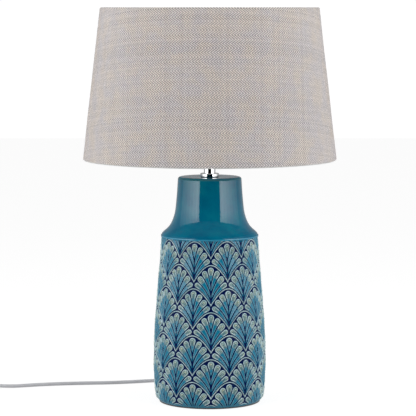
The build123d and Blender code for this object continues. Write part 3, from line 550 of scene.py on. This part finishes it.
def fan_relief(across, up):
    """Lift in millimetres, and how much of each place is bulb, rim or arch, from 0 to 1."""
    inside = np.full(across.shape, -9.0)
    along = np.zeros(across.shape)
    girth = np.ones(across.shape)
    from_bulb = np.full(across.shape, 99.0)
    for foot, bend, bulb, bulb_radius, foot_radius in petals:
        for t in np.linspace(0, 1, PETAL_STEPS):
            x = foot[0] * (1 - t) ** 2 + bend[0] * 2 * t * (1 - t) + bulb[0] * t ** 2
            y = foot[1] * (1 - t) ** 2 + bend[1] * 2 * t * (1 - t) + bulb[1] * t ** 2
            radius = foot_radius + (bulb_radius - foot_radius) * t ** PETAL_SWELL
            depth = radius - np.hypot(across - x, up - y)
            nearer = depth > inside
            inside = np.where(nearer, depth, inside)
            along = np.where(nearer, t, along)
            girth = np.where(nearer, radius, girth)
            from_bulb = np.where(nearer, np.hypot(across - bulb[0], up - bulb[1]), from_bulb)
    body = step_between(inside, 0.0, 0.4)
    bulb_share = step_between(-from_bulb, -BULB_REACH[0], -BULB_REACH[1])
    rim_width = STEM_RIM_WIDTH + (BULB_RIM_WIDTH - STEM_RIM_WIDTH) * bulb_share
    rim = ridge(inside, RIM_INSET, rim_width) * step_between(girth, 0.6, 1.4)
    core = np.clip((inside - GROOVE_INSET) / girth, 0, 1)
    dome = BULB_LIFT + BULB_DOME * np.sqrt(core)
    slot = ridge(girth - inside, 0.0, 0.72) * bulb_share * (1 - step_between(along, 0.96, 1.0))
    groove = ridge(inside, GROOVE_INSET, 0.42) * bulb_share
    lift = body * (STEM_LIFT * (1 - bulb_share) + dome * bulb_share)
    lift = lift - np.maximum(SLOT_DEPTH * slot, GROOVE_DEPTH * groove)
    lift = np.maximum(lift, (RIM_LIFT + 0.35 * bulb_share) * rim)
    slope = np.gradient(arch_top(np.linspace(0, HALF_FAN, 200)), HALF_FAN / 199)
    steepness = np.hypot(1, np.interp(across, np.linspace(0, HALF_FAN, 200), slope))
    under_arch = (arch_top(across) - up) / steepness
    arch = ridge(under_arch, 0.85, 0.5)
    lift = np.maximum(lift, ARCH_LIFT * arch)
    bare = bulb_share * step_between(inside, 0.9, 1.5) * (1 - slot) * (1 - 0.7 * groove)
    bright = rim * step_between(girth, 0.8, 1.6) * (STEM_RIM_TONE + (1 - STEM_RIM_TONE) * bulb_share)
    return lift, bare, np.maximum(bright, arch)


# %% [markdown]
# ## The patterned wall
# A deep, crisp relief that shows in the outline of the base needs real geometry, because a
# bump map leaves the silhouette smooth. The wall is a fine net of quads, about half a
# millimetre across, moved in or out by the pattern. It is made in four quarters, as the
# plaster mould would be, which keeps each mesh to a handy size. The lift, the bulbs and the
# rims are stored on the points, for the glaze to follow.

# %% Quarters of the patterned wall
WALL_FOOT, WALL_TOP = 1.6, 232.0
MOULD_PARTS = 4
PATTERN_TURN = 1.3              # degrees: how far the front column stands to the right
PATTERN_CROWDING = 2.6          # degrees: how far the columns crowd towards the front
COLUMNS_OF_QUADS, ROWS_OF_QUADS = ((230, 430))


def patterned_wall(name, part):
    """One quarter of the wall, with its relief."""
    turn = np.linspace(part * 360 / MOULD_PARTS, (part + 1) * 360 / MOULD_PARTS, COLUMNS_OF_QUADS + 1)
    heights = np.linspace(WALL_FOOT, WALL_TOP, ROWS_OF_QUADS + 1)
    degrees_round, height = np.meshgrid(turn, heights)
    marked = degrees_round - PATTERN_TURN
    lift, bulb, rim = fan_relief(*fan_place(marked + PATTERN_CROWDING * np.sin(np.radians(marked)), height))
    # The pattern runs out into the plain shoulder above and the rounded corner below.
    shown = step_between(height, 2.5, 6.0) * (1 - step_between(height, 228.7, 230.7))
    plain = np.where(height > 100, RELIEF_DEPTH, 0.4 * RELIEF_DEPTH)
    depth = lift * shown + plain * (1 - shown)
    radius = (wall_radius(height) - RELIEF_DEPTH + depth) * MM
    angle = np.radians(degrees_round - 90)
    points = np.stack([radius * np.cos(angle), radius * np.sin(angle), height * MM], axis=-1)
    across = COLUMNS_OF_QUADS + 1
    corner = (np.arange(ROWS_OF_QUADS)[:, None] * across + np.arange(COLUMNS_OF_QUADS)[None, :]).ravel()
    faces = np.stack([corner, corner + 1, corner + 1 + across, corner + across], axis=-1)
    piece = mesh_piece(name, points.reshape(-1, 3).tolist(), faces.tolist(), sharp=180.0)
    for key, values in (("lift", depth / RELIEF_DEPTH), ("bulb", bulb * shown), ("rim", rim * shown)):
        layer = piece.data.attributes.new(key, "FLOAT", "POINT")
        layer.data.foreach_set("value", values.ravel().astype(np.float32))
    return piece


wall_quarters = [patterned_wall(f"patterned_wall_{part + 1}", part) for part in range(MOULD_PARTS)]
print("quads in each quarter", COLUMNS_OF_QUADS * ROWS_OF_QUADS)

# %% [markdown]
# ## The glaze
# A reactive glaze is thick and dark where it pools in the grooves, a clear teal on the
# stems, almost white where it thins over a rim, and it breaks to a stony green on the bulbs,
# where the clay is nearest. So one ramp follows the stored lift, and two more colours are
# laid over it on the rims and the bulbs, all three broken up by noise. The surface is smooth,
# so the light panels show in it.

# %% Glaze on the pattern
POOLED = (0.000, 0.009, 0.075)
DEEP_TEAL = (0.000, 0.065, 0.175)
TEAL = (0.000, 0.185, 0.310)
PALE_BLUE = (0.022, 0.265, 0.425)
RIM_COLOUR = (0.720, 0.860, 0.820)
BULB_COLOUR = (0.440, 0.490, 0.340)

pattern_glaze, tree, shader = new_finish("pattern_glaze", Roughness=0.14, IOR=1.5, Specular_IOR_Level=0.45)
place = object_place(tree)
mottle = noise(tree, place, 260.0, 4.0)
drift = noise(tree, place, 38.0, 2.0)
uneven = sums(tree, "MULTIPLY_ADD", mottle, 0.22, -0.11)
pooled_lift = sums(tree, "ADD", attribute(tree, "lift"), uneven)
body_colour = ramp(tree, pooled_lift, [(0.02, POOLED), (0.16, DEEP_TEAL), (0.30, TEAL), (0.68, PALE_BLUE)])
thin_rim = sums(tree, "MULTIPLY", attribute(tree, "rim"), remap(tree, drift, 0.30, 0.60, 0.60, 1.0))
rim_mix = blend_colours(tree, thin_rim, body_colour, RIM_COLOUR)
thin_bulb = sums(tree, "MULTIPLY", attribute(tree, "bulb"), remap(tree, mottle, 0.32, 0.62, 0.45, 1.0))
glaze_colour = blend_colours(tree, thin_bulb, rim_mix, BULB_COLOUR)
tree.links.new(glaze_colour, shader.inputs["Base Color"])
# The deep grooves are kept from shining, so that they stay dark.
gloss = remap(tree, attribute(tree, "lift"), 0.05, 0.45, 0.04, 0.65)
tree.links.new(gloss, shader.inputs["Specular IOR Level"])
bumped(tree, shader, mottle, 0.00012, 0.5)

for quarter in wall_quarters:
    finish_piece(quarter, "stand", pattern_glaze, ["ceramic_body"])

# %% Glaze on the plain parts
plain_glaze, tree, shader = new_finish("plain_glaze", Roughness=0.05, IOR=1.5, Specular_IOR_Level=0.42)
place = object_place(tree)
cloud = noise(tree, place, 30.0, 4.0)
speck = noise(tree, place, 420.0, 2.0)
height = add_node(tree, "ShaderNodeSeparateXYZ", {"Vector": place}).outputs["Z"]
tone = sums(tree, "ADD", cloud, remap(tree, height, 0.2315, 0.2675, -0.10, 0.04))
colour = ramp(tree, tone, [(0.36, (0.000, 0.125, 0.225)), (0.52, (0.000, 0.155, 0.255)),
                           (0.68, (0.002, 0.185, 0.270))])
pit = remap(tree, speck, 0.70, 0.78)
colour = blend_colours(tree, pit, colour, (0.004, 0.060, 0.110))
from_edge = sums(tree, "ABSOLUTE", sums(tree, "SUBTRACT", height, 0.3107))
edge_break = remap(tree, from_edge, 0.0004, 0.0016, 0.55, 0.0)
colour = blend_colours(tree, edge_break, colour, (0.060, 0.190, 0.190))
tree.links.new(colour, shader.inputs["Base Color"])
# A set choice, not a property of the glaze: the shoulder and the flat top shine less than the neck.
gloss = sums(tree, "MULTIPLY", remap(tree, height, 0.2375, 0.2675, 0.10, 0.60),
             remap(tree, height, 0.3090, 0.3122, 1.0, 0.10))
tree.links.new(gloss, shader.inputs["Specular IOR Level"])
bumped(tree, shader, cloud, 0.0004, 0.35)

# %% [markdown]
# ## Shoulder, neck and underside
# The plain parts of the casting are turned. The shoulder rolls over from the pattern into a
# tapering neck with a rounded rim, and the neck top is closed but for the rod's hole.
# Underneath, the foot ring stands round a deep recess, with the clay left bare.

# %% Plain ceramic
CERAMIC_TOP, NECK_RADIUS, NECK_ROUND = 312.5, 44.1, 3.5
shoulder_outline = [
    (67.45, 230.1), (66.9, 232.3), (65.95, 234.5), (64.2, 236.5),
    (61.3, 239.0), (58.5, 241.5), (55.7, 244.6), (53.1, 248.8), (51.3, 252.9), (49.8, 257.1),
    (48.5, 261.5), (47.5, 267.0), (46.75, 273.5), (46.0, 281.5), (45.3, 289.5), (44.75, 297.5),
    (44.35, 304.5), (44.1, 308.5),
]
neck_rim = [(NECK_RADIUS - NECK_ROUND * (1 - cos(a)), CERAMIC_TOP - NECK_ROUND * (1 - sin(a)))
            for a in np.linspace(0.15, pi / 2, 8)]
plain_outline = (
    [(8.0, 305.5), (5.6, 305.8), (5.4, 311.9), (6.0, 312.5), (20.0, 312.4), (32.0, 312.45)]
    + neck_rim[::-1] + shoulder_outline[::-1]
    + [(64.5, 229.5), (62.0, 227.5), (8.0, 295.5)]
)
neck_points, neck_faces = spun(plain_outline, 192)
neck = mesh_piece("neck_and_shoulder", neck_points, neck_faces, sharp=50.0)
clean_mesh(neck)
finish_piece(neck, "stand", plain_glaze)

# %% The foot, the recess and the inner floor
RECESS_RADIUS, RECESS_TOP, FLOOR_TOP, ROD_HOLE = 62.0, 27.0, 34.0, 5.3
foot_outline = [
    (70.6, 2.6), (69.4, 1.5), (63.4, 1.5), (RECESS_RADIUS, 2.6), (RECESS_RADIUS, 25.0), (60.0, RECESS_TOP),
    (ROD_HOLE, RECESS_TOP), (ROD_HOLE, FLOOR_TOP), (60.0, FLOOR_TOP), (68.0, 30.0), (70.4, 12.0),
]
foot_ring = turned_piece("foot_and_recess", foot_outline, 144, 0.5)
biscuit, tree, shader = new_finish("bare_stoneware", Roughness=0.8, Specular_IOR_Level=0.3)
place = object_place(tree)
grit = noise(tree, place, 700.0, 4.0)
bloom = noise(tree, place, 30.0, 3.0)
colour = ramp(tree, sums(tree, "MULTIPLY_ADD", grit, 0.45, sums(tree, "MULTIPLY", bloom, 0.55)),
              [(0.35, (0.42, 0.36, 0.28)), (0.55, (0.58, 0.51, 0.41)), (0.7, (0.66, 0.60, 0.50))])
tree.links.new(colour, shader.inputs["Base Color"])
bumped(tree, shader, grit, 0.0003, 0.6)
finish_piece(foot_ring, "stand", biscuit)

# %% [markdown]
# ## The shade cloth
# The shade is a tapered drum, covered in a herringbone cloth of pale and grey yarn that is
# glued to a stiff liner and rolled over a wire at each edge. Cloth for a drum is cut flat as
# part of a ring, so the weave runs true only along the middle of the cut. The mesh keeps
# the flat cut's own coordinates, and the weave is drawn in those. The rolled edges are real
# geometry, and so is the small step of the seam at the back.

# %% The cloth's outline
SHADE_FOOT, SHADE_HEIGHT = 335.5, 210.0
SHADE_BOTTOM_RADIUS, SHADE_TOP_RADIUS = 175.0, 150.5
CLOTH_THICKNESS, LINER_THICKNESS, WIRE_RADIUS = 0.8, 0.6, 1.2
SLANT = hypot(SHADE_HEIGHT, SHADE_BOTTOM_RADIUS - SHADE_TOP_RADIUS)
SLANT_SINE = (SHADE_BOTTOM_RADIUS - SHADE_TOP_RADIUS) / SLANT
SLANT_COSINE = SHADE_HEIGHT / SLANT
ROLL_RADIUS = WIRE_RADIUS + CLOTH_THICKNESS
HEM = 12.0


def on_slant(up, out):
    """Radius and height of a point up the shade's side, and out from its face."""
    return (SHADE_BOTTOM_RADIUS - up * SLANT_SINE + out * SLANT_COSINE,
            SHADE_FOOT + up * SLANT_COSINE + out * SLANT_SINE)


def rolled(wire_up, start_angle, end_angle, radius, steps=10):
    """Points round a wire, as (up, out), between two angles from the outward direction."""
    return [(wire_up + radius * sin(a), -ROLL_RADIUS + radius * cos(a))
            for a in np.linspace(radians(start_angle), radians(end_angle), steps)]


top_wire_up = SLANT - ROLL_RADIUS
glue_line = -CLOTH_THICKNESS - LINER_THICKNESS - 0.1
face_ups = np.linspace(ROLL_RADIUS + 4, top_wire_up - 4, 40)
outer_line = (
    [(HEM, glue_line - CLOTH_THICKNESS), (HEM - 3, glue_line - CLOTH_THICKNESS), (5.5, -2.9)]
    + rolled(ROLL_RADIUS, -180, -360, ROLL_RADIUS)
    + [(up, 0.0) for up in face_ups]
    + rolled(top_wire_up, 0, 180, ROLL_RADIUS)
    + [(SLANT - 5.5, -2.9), (SLANT - HEM + 3, glue_line - CLOTH_THICKNESS),
       (SLANT - HEM, glue_line - CLOTH_THICKNESS)]
)
inner_line = (
    [(SLANT - HEM, glue_line), (SLANT - HEM + 3, glue_line), (SLANT - 5.5, -2.3)]
    + rolled(top_wire_up, 180, 0, WIRE_RADIUS + 0.1)
    + [(up, -CLOTH_THICKNESS) for up in face_ups[::-1]]
    + rolled(ROLL_RADIUS, -360, -180, WIRE_RADIUS + 0.1)
    + [(5.5, -2.3), (HEM - 3, glue_line), (HEM, glue_line)]
)

# %% The cloth
CLOTH_SEGMENTS = 240
APEX_SLANT = SHADE_BOTTOM_RADIUS / SLANT_SINE       # from the cone's tip to the lower edge
cloth_lines = outer_line + inner_line
cloth_count = len(cloth_lines)
cloth_points, cloth_faces, cut_place = [], [], []
for step in range(CLOTH_SEGMENTS + 1):
    turn = 2 * pi * step / CLOTH_SEGMENTS               # from the seam at the back
    overlap = 0.5 if step == CLOTH_SEGMENTS else 0.0     # the last edge stands proud of the first
    for up, out in cloth_lines:
        # The cloth is never quite flat on its liner.
        ripple = 0.16 * sin(5 * turn + up * 0.021) * sin(up * 0.045 + 1.3) + 0.10 * sin(17 * turn + up * 0.05)
        radius, height = on_slant(up, out + overlap + ripple * (0 < up < SLANT))
        angle = pi / 2 - turn
        cloth_points.append((radius * cos(angle) * MM, radius * sin(angle) * MM, height * MM))
        fan_angle = (turn - pi) * SLANT_SINE
        from_tip = APEX_SLANT - up
        cut_place.append((from_tip * sin(fan_angle), APEX_SLANT - from_tip * cos(fan_angle)))
for step in range(CLOTH_SEGMENTS):
    here, following = step * cloth_count, (step + 1) * cloth_count
    for index in range(cloth_count):
        after = (index + 1) % cloth_count
        cloth_faces.append((here + index, following + index, following + after, here + after))
cloth_faces.append(tuple(range(cloth_count)))
cloth_faces.append(tuple(CLOTH_SEGMENTS * cloth_count + index for index in reversed(range(cloth_count))))
shade_cloth = mesh_piece("shade_cloth", cloth_points, cloth_faces, sharp=60.0)
for key, axis in (("cut_across", 0), ("cut_up", 1)):
    layer = shade_cloth.data.attributes.new(key, "FLOAT", "POINT")
    layer.data.foreach_set("value", np.array(cut_place, np.float32)[:, axis].copy())
work = bmesh.new()
work.from_mesh(shade_cloth.data)
bmesh.ops.recalc_face_normals(work, faces=work.faces)
work.to_mesh(shade_cloth.data)
work.free()
print("cloth face", round(SLANT, 1), "mm up the slant")

# %% [markdown]
# ## The herringbone weave
# Herringbone is a twill whose direction turns round every few picks. Pale warp yarn and grey
# weft yarn cross two over and two under, and each pick steps one yarn along, so short floats
# line up as zigzag lines. The nodes do just what a loom does: they count warp and weft yarns
# from the flat cut's coordinates and ask which one is on top. Each yarn also gets its own
# grey and a rounded back, and is darkened towards its edges as painted shade.

# %% The cloth's finish
WARP_PITCH, WEFT_PITCH = 0.9875, 0.73125
PICKS_TO_TURN = 8

cloth_finish, tree, shader = new_finish("herringbone_cloth", Roughness=0.92, Specular_IOR_Level=0.2)
across = sums(tree, "DIVIDE", attribute(tree, "cut_across"), WARP_PITCH)
up = sums(tree, "DIVIDE", attribute(tree, "cut_up"), WEFT_PITCH)
warp_number = sums(tree, "FLOOR", across)
weft_number = sums(tree, "FLOOR", up)
zigzag = sums(tree, "PINGPONG", weft_number, float(PICKS_TO_TURN))
twill = sums(tree, "FLOORED_MODULO", sums(tree, "ADD", warp_number, zigzag), 4.0)
warp_on_top = sums(tree, "LESS_THAN", twill, 1.5)


def yarn_shade(number, seed):
    """A different grey for each yarn."""
    joined = add_node(tree, "ShaderNodeCombineXYZ", {"X": number, "Y": seed})
    return add_node(tree, "ShaderNodeTexWhiteNoise", {"Vector": joined.outputs[0]},
                    noise_dimensions="3D").outputs["Value"]


def yarn_slub(first, second, stretch, scale):
    """Thick and thin places along the yarns."""
    joined = add_node(tree, "ShaderNodeCombineXYZ", {
        "X": sums(tree, "MULTIPLY", first, stretch[0]), "Y": sums(tree, "MULTIPLY", second, stretch[1])})
    return noise(tree, joined.outputs[0], scale, 2.0)


def round_back(count):
    """A yarn's rounded back, from its edge to its middle."""
    part = sums(tree, "FRACT", count)
    return sums(tree, "SINE", sums(tree, "MULTIPLY", part, pi))


warp_slub = yarn_slub(across, up, (1.0, 0.12), 0.9)
weft_slub = yarn_slub(across, up, (0.10, 1.0), 0.9)
warp_tone = sums(tree, "MULTIPLY_ADD", yarn_shade(warp_number, 3.7), 0.35,
                 sums(tree, "MULTIPLY", warp_slub, 0.9))
weft_tone = sums(tree, "MULTIPLY_ADD", yarn_shade(weft_number, 8.1), 0.40,
                 sums(tree, "MULTIPLY", weft_slub, 0.9))
warp_colour = ramp(tree, warp_tone, [(0.30, (0.760, 0.690, 0.660)), (0.62, (0.915, 0.840, 0.800)),
                                     (0.90, (0.960, 0.910, 0.865))])
weft_colour = ramp(tree, weft_tone, [(0.30, (0.205, 0.196, 0.198)), (0.60, (0.355, 0.327, 0.320)),
                                     (0.90, (0.530, 0.482, 0.457))])
back = blend_colours(tree, warp_on_top, round_back(up), round_back(across))
woven = blend_colours(tree, warp_on_top, weft_colour, warp_colour)
# Painted shade: each yarn is darkened from its middle towards its edges, along its rounded back.
painted_yarn_shade = remap(tree, back, 0.0, 0.7, 0.62, 1.0)
shaded = blend_colours(tree, 1.0, woven, painted_yarn_shade, "MULTIPLY")
heather = noise(tree, object_place(tree), 45.0, 3.0)
warmth = ramp(tree, heather, [(0.38, (0.93, 0.95, 1.0)), (0.62, (1.0, 0.985, 0.95))])
final = blend_colours(tree, 1.0, shaded, warmth, "MULTIPLY")
tree.links.new(final, shader.inputs["Base Color"])
bumped(tree, shader, back, 0.00025, 0.8)
finish_piece(shade_cloth, "shade", cloth_finish, ["shade_fabric"])

# %% [markdown]
# ## Finishes for metal, plastic and film
# The hard fittings are all moulded, turned or pressed, so the CAD pieces already have their
# true shape. What they lack is a surface. One helper makes it from three things that every
# real part shows: a colour that drifts a little, a sheen that is uneven where hands or the
# mould have touched it, and a grain. Brushed and turned metal has its grain stretched along
# the way it was cut. Moulded plastic has a fine, even spark-eroded texture.

# %% A helper for hard finishes
def hard_finish(name, dark, light, sheen, grain, depth, stretch=(1.0, 1.0, 1.0), **sockets):
    """A finish with drifting colour, uneven sheen (least, most) and grain this many times a metre."""
    finish, tree, shader = new_finish(name, **sockets)
    place = object_place(tree)
    drift = noise(tree, place, 55.0, 3.0)
    drawn = add_node(tree, "ShaderNodeMapping", {"Vector": place, "Scale": stretch}).outputs[0]
    fine = noise(tree, drawn, grain, 3.0, 0.6)
    tone = sums(tree, "MULTIPLY_ADD", fine, 0.35, sums(tree, "MULTIPLY", drift, 0.65))
    tree.links.new(ramp(tree, tone, [(0.36, dark), (0.64, light)]), shader.inputs["Base Color"])
    uneven = sums(tree, "MULTIPLY_ADD", fine, 0.5, sums(tree, "MULTIPLY", drift, 0.5))
    tree.links.new(remap(tree, uneven, 0.35, 0.65, *sheen), shader.inputs["Roughness"])
    bumped(tree, shader, fine, depth, 0.5)
    return finish


def finish_nodes(finish, *names):
    """Give CAD pieces that keep their shape a better surface."""
    for name in names:
        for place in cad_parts[name].material_slots:
            place.link = "OBJECT"
            place.material = finish


# %% Metals
ROUND_Z = (0.25, 0.25, 6.0)      # grain that runs round a turned piece
chrome = hard_finish("polished_chrome", (0.72, 0.73, 0.75), (0.82, 0.83, 0.84), (0.03, 0.09), 900.0, 0.00002,
                     Metallic=1.0)
zinc = hard_finish("zinc_plate", (0.46, 0.46, 0.43), (0.66, 0.66, 0.62), (0.24, 0.42), 1400.0, 0.00006,
                   ROUND_Z, Metallic=1.0)
brass = hard_finish("turned_brass", (0.50, 0.33, 0.12), (0.66, 0.47, 0.20), (0.20, 0.36), 1400.0, 0.00006,
                    ROUND_Z, Metallic=1.0)
aluminium = hard_finish("pressed_aluminium", (0.60, 0.60, 0.61), (0.76, 0.76, 0.77), (0.22, 0.38), 1200.0,
                        0.00006, ROUND_Z, Metallic=1.0)
nickel = hard_finish("nickel_pins", (0.58, 0.56, 0.52), (0.72, 0.70, 0.66), (0.12, 0.26), 1300.0, 0.00004,
                     (0.08, 1.0, 1.0), Metallic=1.0)
finish_nodes(chrome, "neck_collar", "neck_tube")
finish_nodes(zinc, "steel_washer", "base_nut", "threaded_rod", "holder_grub_screw", "terminal_screws",
             "switch_screws", "rocker_pin")
finish_nodes(brass, "screw_shell", "centre_contact", "terminal_blocks", "switch_fixed_contacts",
             "rocker_contact")
finish_nodes(aluminium, "bulb_contact", "bulb_cap", "led_board")
finish_nodes(nickel, "plug_pins")

# %% Plastics, rubber and board
white_moulding = hard_finish("white_moulding", (0.66, 0.66, 0.63), (0.75, 0.75, 0.72),
                             (0.30, 0.46), 2600.0, 0.00005)
holder_moulding = hard_finish("holder_moulding", (0.62, 0.61, 0.57), (0.72, 0.71, 0.67),
                              (0.26, 0.40), 2200.0, 0.00005)
bulb_shell = hard_finish("bulb_shell", (0.76, 0.76, 0.74), (0.84, 0.84, 0.83), (0.38, 0.52), 1900.0, 0.00004)
black_moulding = hard_finish("black_moulding", (0.010, 0.010, 0.011), (0.020, 0.020, 0.022),
                             (0.26, 0.42), 1900.0, 0.00004)
rubber = hard_finish("black_rubber", (0.010, 0.010, 0.010), (0.028, 0.027, 0.026),
                     (0.60, 0.80), 1500.0, 0.00010)
board = hard_finish("circuit_board", (0.16, 0.36, 0.22), (0.24, 0.46, 0.30), (0.28, 0.44), 900.0, 0.00004)
phosphor = hard_finish("led_phosphor", (0.72, 0.50, 0.06), (0.84, 0.62, 0.12), (0.30, 0.44), 3000.0, 0.00004)
brown_sleeve = hard_finish("brown_core", (0.13, 0.055, 0.025), (0.19, 0.085, 0.040),
                           (0.28, 0.42), 1500.0, 0.00003)
blue_sleeve = hard_finish("blue_core", (0.010, 0.075, 0.34), (0.018, 0.11, 0.44),
                          (0.28, 0.42), 1500.0, 0.00003)
finish_nodes(white_moulding, "cable_gland", "cable_lock", "switch_base", "switch_cover", "switch_cord_clamps",
             "switch_rocker", "plug_body")
finish_nodes(holder_moulding, "holder_cap", "holder_insert", "holder_shell", "lower_shade_ring", "ring_washer",
             "upper_shade_ring")
finish_nodes(bulb_shell, "bulb_housing")
finish_nodes(black_moulding, "bulb_insulator", "pin_sleeves")
finish_nodes(rubber, "rubber_washer", "neck_gasket")
finish_nodes(board, "bulb_driver")
finish_nodes(phosphor, "led_chips")
finish_nodes(brown_sleeve, "live_core")
finish_nodes(blue_sleeve, "neutral_core", "switch_cores")

# %% Painted wire and liner film
painted_wire = hard_finish("painted_wire", (0.72, 0.72, 0.70), (0.82, 0.82, 0.80),
                           (0.32, 0.50), 700.0, 0.00008)
liner_film = hard_finish("liner_film", (0.74, 0.73, 0.70), (0.82, 0.81, 0.78), (0.44, 0.60), 380.0, 0.00016)
finish_nodes(painted_wire, "spider_arms", "spider_ring", "shade_top_wire", "shade_bottom_wire")
finish_nodes(liner_film, "shade_liner")

# %% [markdown]
# ## The bulb's globe
# A frosted LED globe glows evenly when lit and looks like soft white glass when it is off. It
# is blown polycarbonate with a diffusing powder in it, so light goes in and scatters: a
# Principled shader with some subsurface gives that at little cost.

# %% Frosted globe
frosted, tree, shader = new_finish("frosted_globe", Roughness=0.34, IOR=1.5, Subsurface_Weight=0.25,
                                   Subsurface_Scale=0.004)
place = object_place(tree)
powder = noise(tree, place, 2400.0, 3.0)
swirl = noise(tree, place, 26.0, 2.0)
colour = ramp(tree, sums(tree, "MULTIPLY_ADD", powder, 0.3, sums(tree, "MULTIPLY", swirl, 0.7)),
              [(0.36, (0.80, 0.80, 0.77)), (0.64, (0.88, 0.88, 0.86))])
tree.links.new(colour, shader.inputs["Base Color"])
bumped(tree, shader, powder, 0.00004, 0.5)
finish_nodes(frosted, "bulb_globe")

# %% [markdown]
# ## The felt foot
# The foot is a disc of wool felt, so it has no weave: short fibres lie every way. Two noises
# stretched across each other make the fibres, and a soft sheen at glancing angles makes the
# nap.

# %% Felt
felt, tree, shader = new_finish("wool_felt", Roughness=0.95, Specular_IOR_Level=0.15, Sheen_Weight=0.5,
                                Sheen_Roughness=0.6)
place = object_place(tree)
one_way = add_node(tree, "ShaderNodeMapping", {"Vector": place, "Scale": (1.0, 0.15, 1.0),
                                               "Rotation": (0.0, 0.0, 0.5)}).outputs[0]
other_way = add_node(tree, "ShaderNodeMapping", {"Vector": place, "Scale": (0.15, 1.0, 1.0),
                                                 "Rotation": (0.0, 0.0, 0.3)}).outputs[0]
fibres = sums(tree, "MAXIMUM", noise(tree, one_way, 1800.0, 3.0), noise(tree, other_way, 1800.0, 3.0))
tree.links.new(ramp(tree, fibres, [(0.45, (0.035, 0.036, 0.038)), (0.70, (0.110, 0.112, 0.115))]),
               shader.inputs["Base Color"])
bumped(tree, shader, fibres, 0.0003, 0.8)
finish_nodes(felt, "base_felt")

# %% [markdown]
# ## The lead's jacket and the tie
# The jacket is extruded PVC, pale grey-white, with a very fine grain and a soft sheen. The
# tie is a woven strap with slanting ribs.

# %% Lead and tie finishes
jacket = hard_finish("pvc_jacket", (0.64, 0.64, 0.67), (0.70, 0.70, 0.73), (0.38, 0.50), 900.0, 0.00003)
coat_piece(lamp_side_lead, jacket)
coat_piece(plug_side_lead, jacket)

strap, tree, shader = new_finish("woven_tie", Roughness=0.85, Specular_IOR_Level=0.25)
place = object_place(tree)
rib = add_node(tree, "ShaderNodeTexWave", {"Vector": place, "Scale": 260.0, "Distortion": 0.6, "Detail": 2.0},
               wave_type="BANDS", bands_direction="DIAGONAL").outputs["Fac"]
fuzz = noise(tree, place, 1500.0, 3.0)
threads = sums(tree, "MULTIPLY_ADD", rib, 0.7, sums(tree, "MULTIPLY", fuzz, 0.3))
tree.links.new(ramp(tree, threads, [(0.2, (0.38, 0.38, 0.39)), (0.8, (0.66, 0.66, 0.67))]),
               shader.inputs["Base Color"])
bumped(tree, shader, threads, 0.0003, 0.9)
finish_nodes(strap, "coil_tie")

# %% [markdown]
# ## What the two lengths of lead are
# The lead is cut in two by the switch. The first length goes from the grommet to the switch,
# the second from the switch to the plug, most of it in the coil. With the bit inside the
# switch they make about the usual 1.8 m.

# %% [markdown]
# ## The last update
# The view layer is brought up to date, so that every piece stands in its final place.

# %% Update
scene.view_layers[0].update()
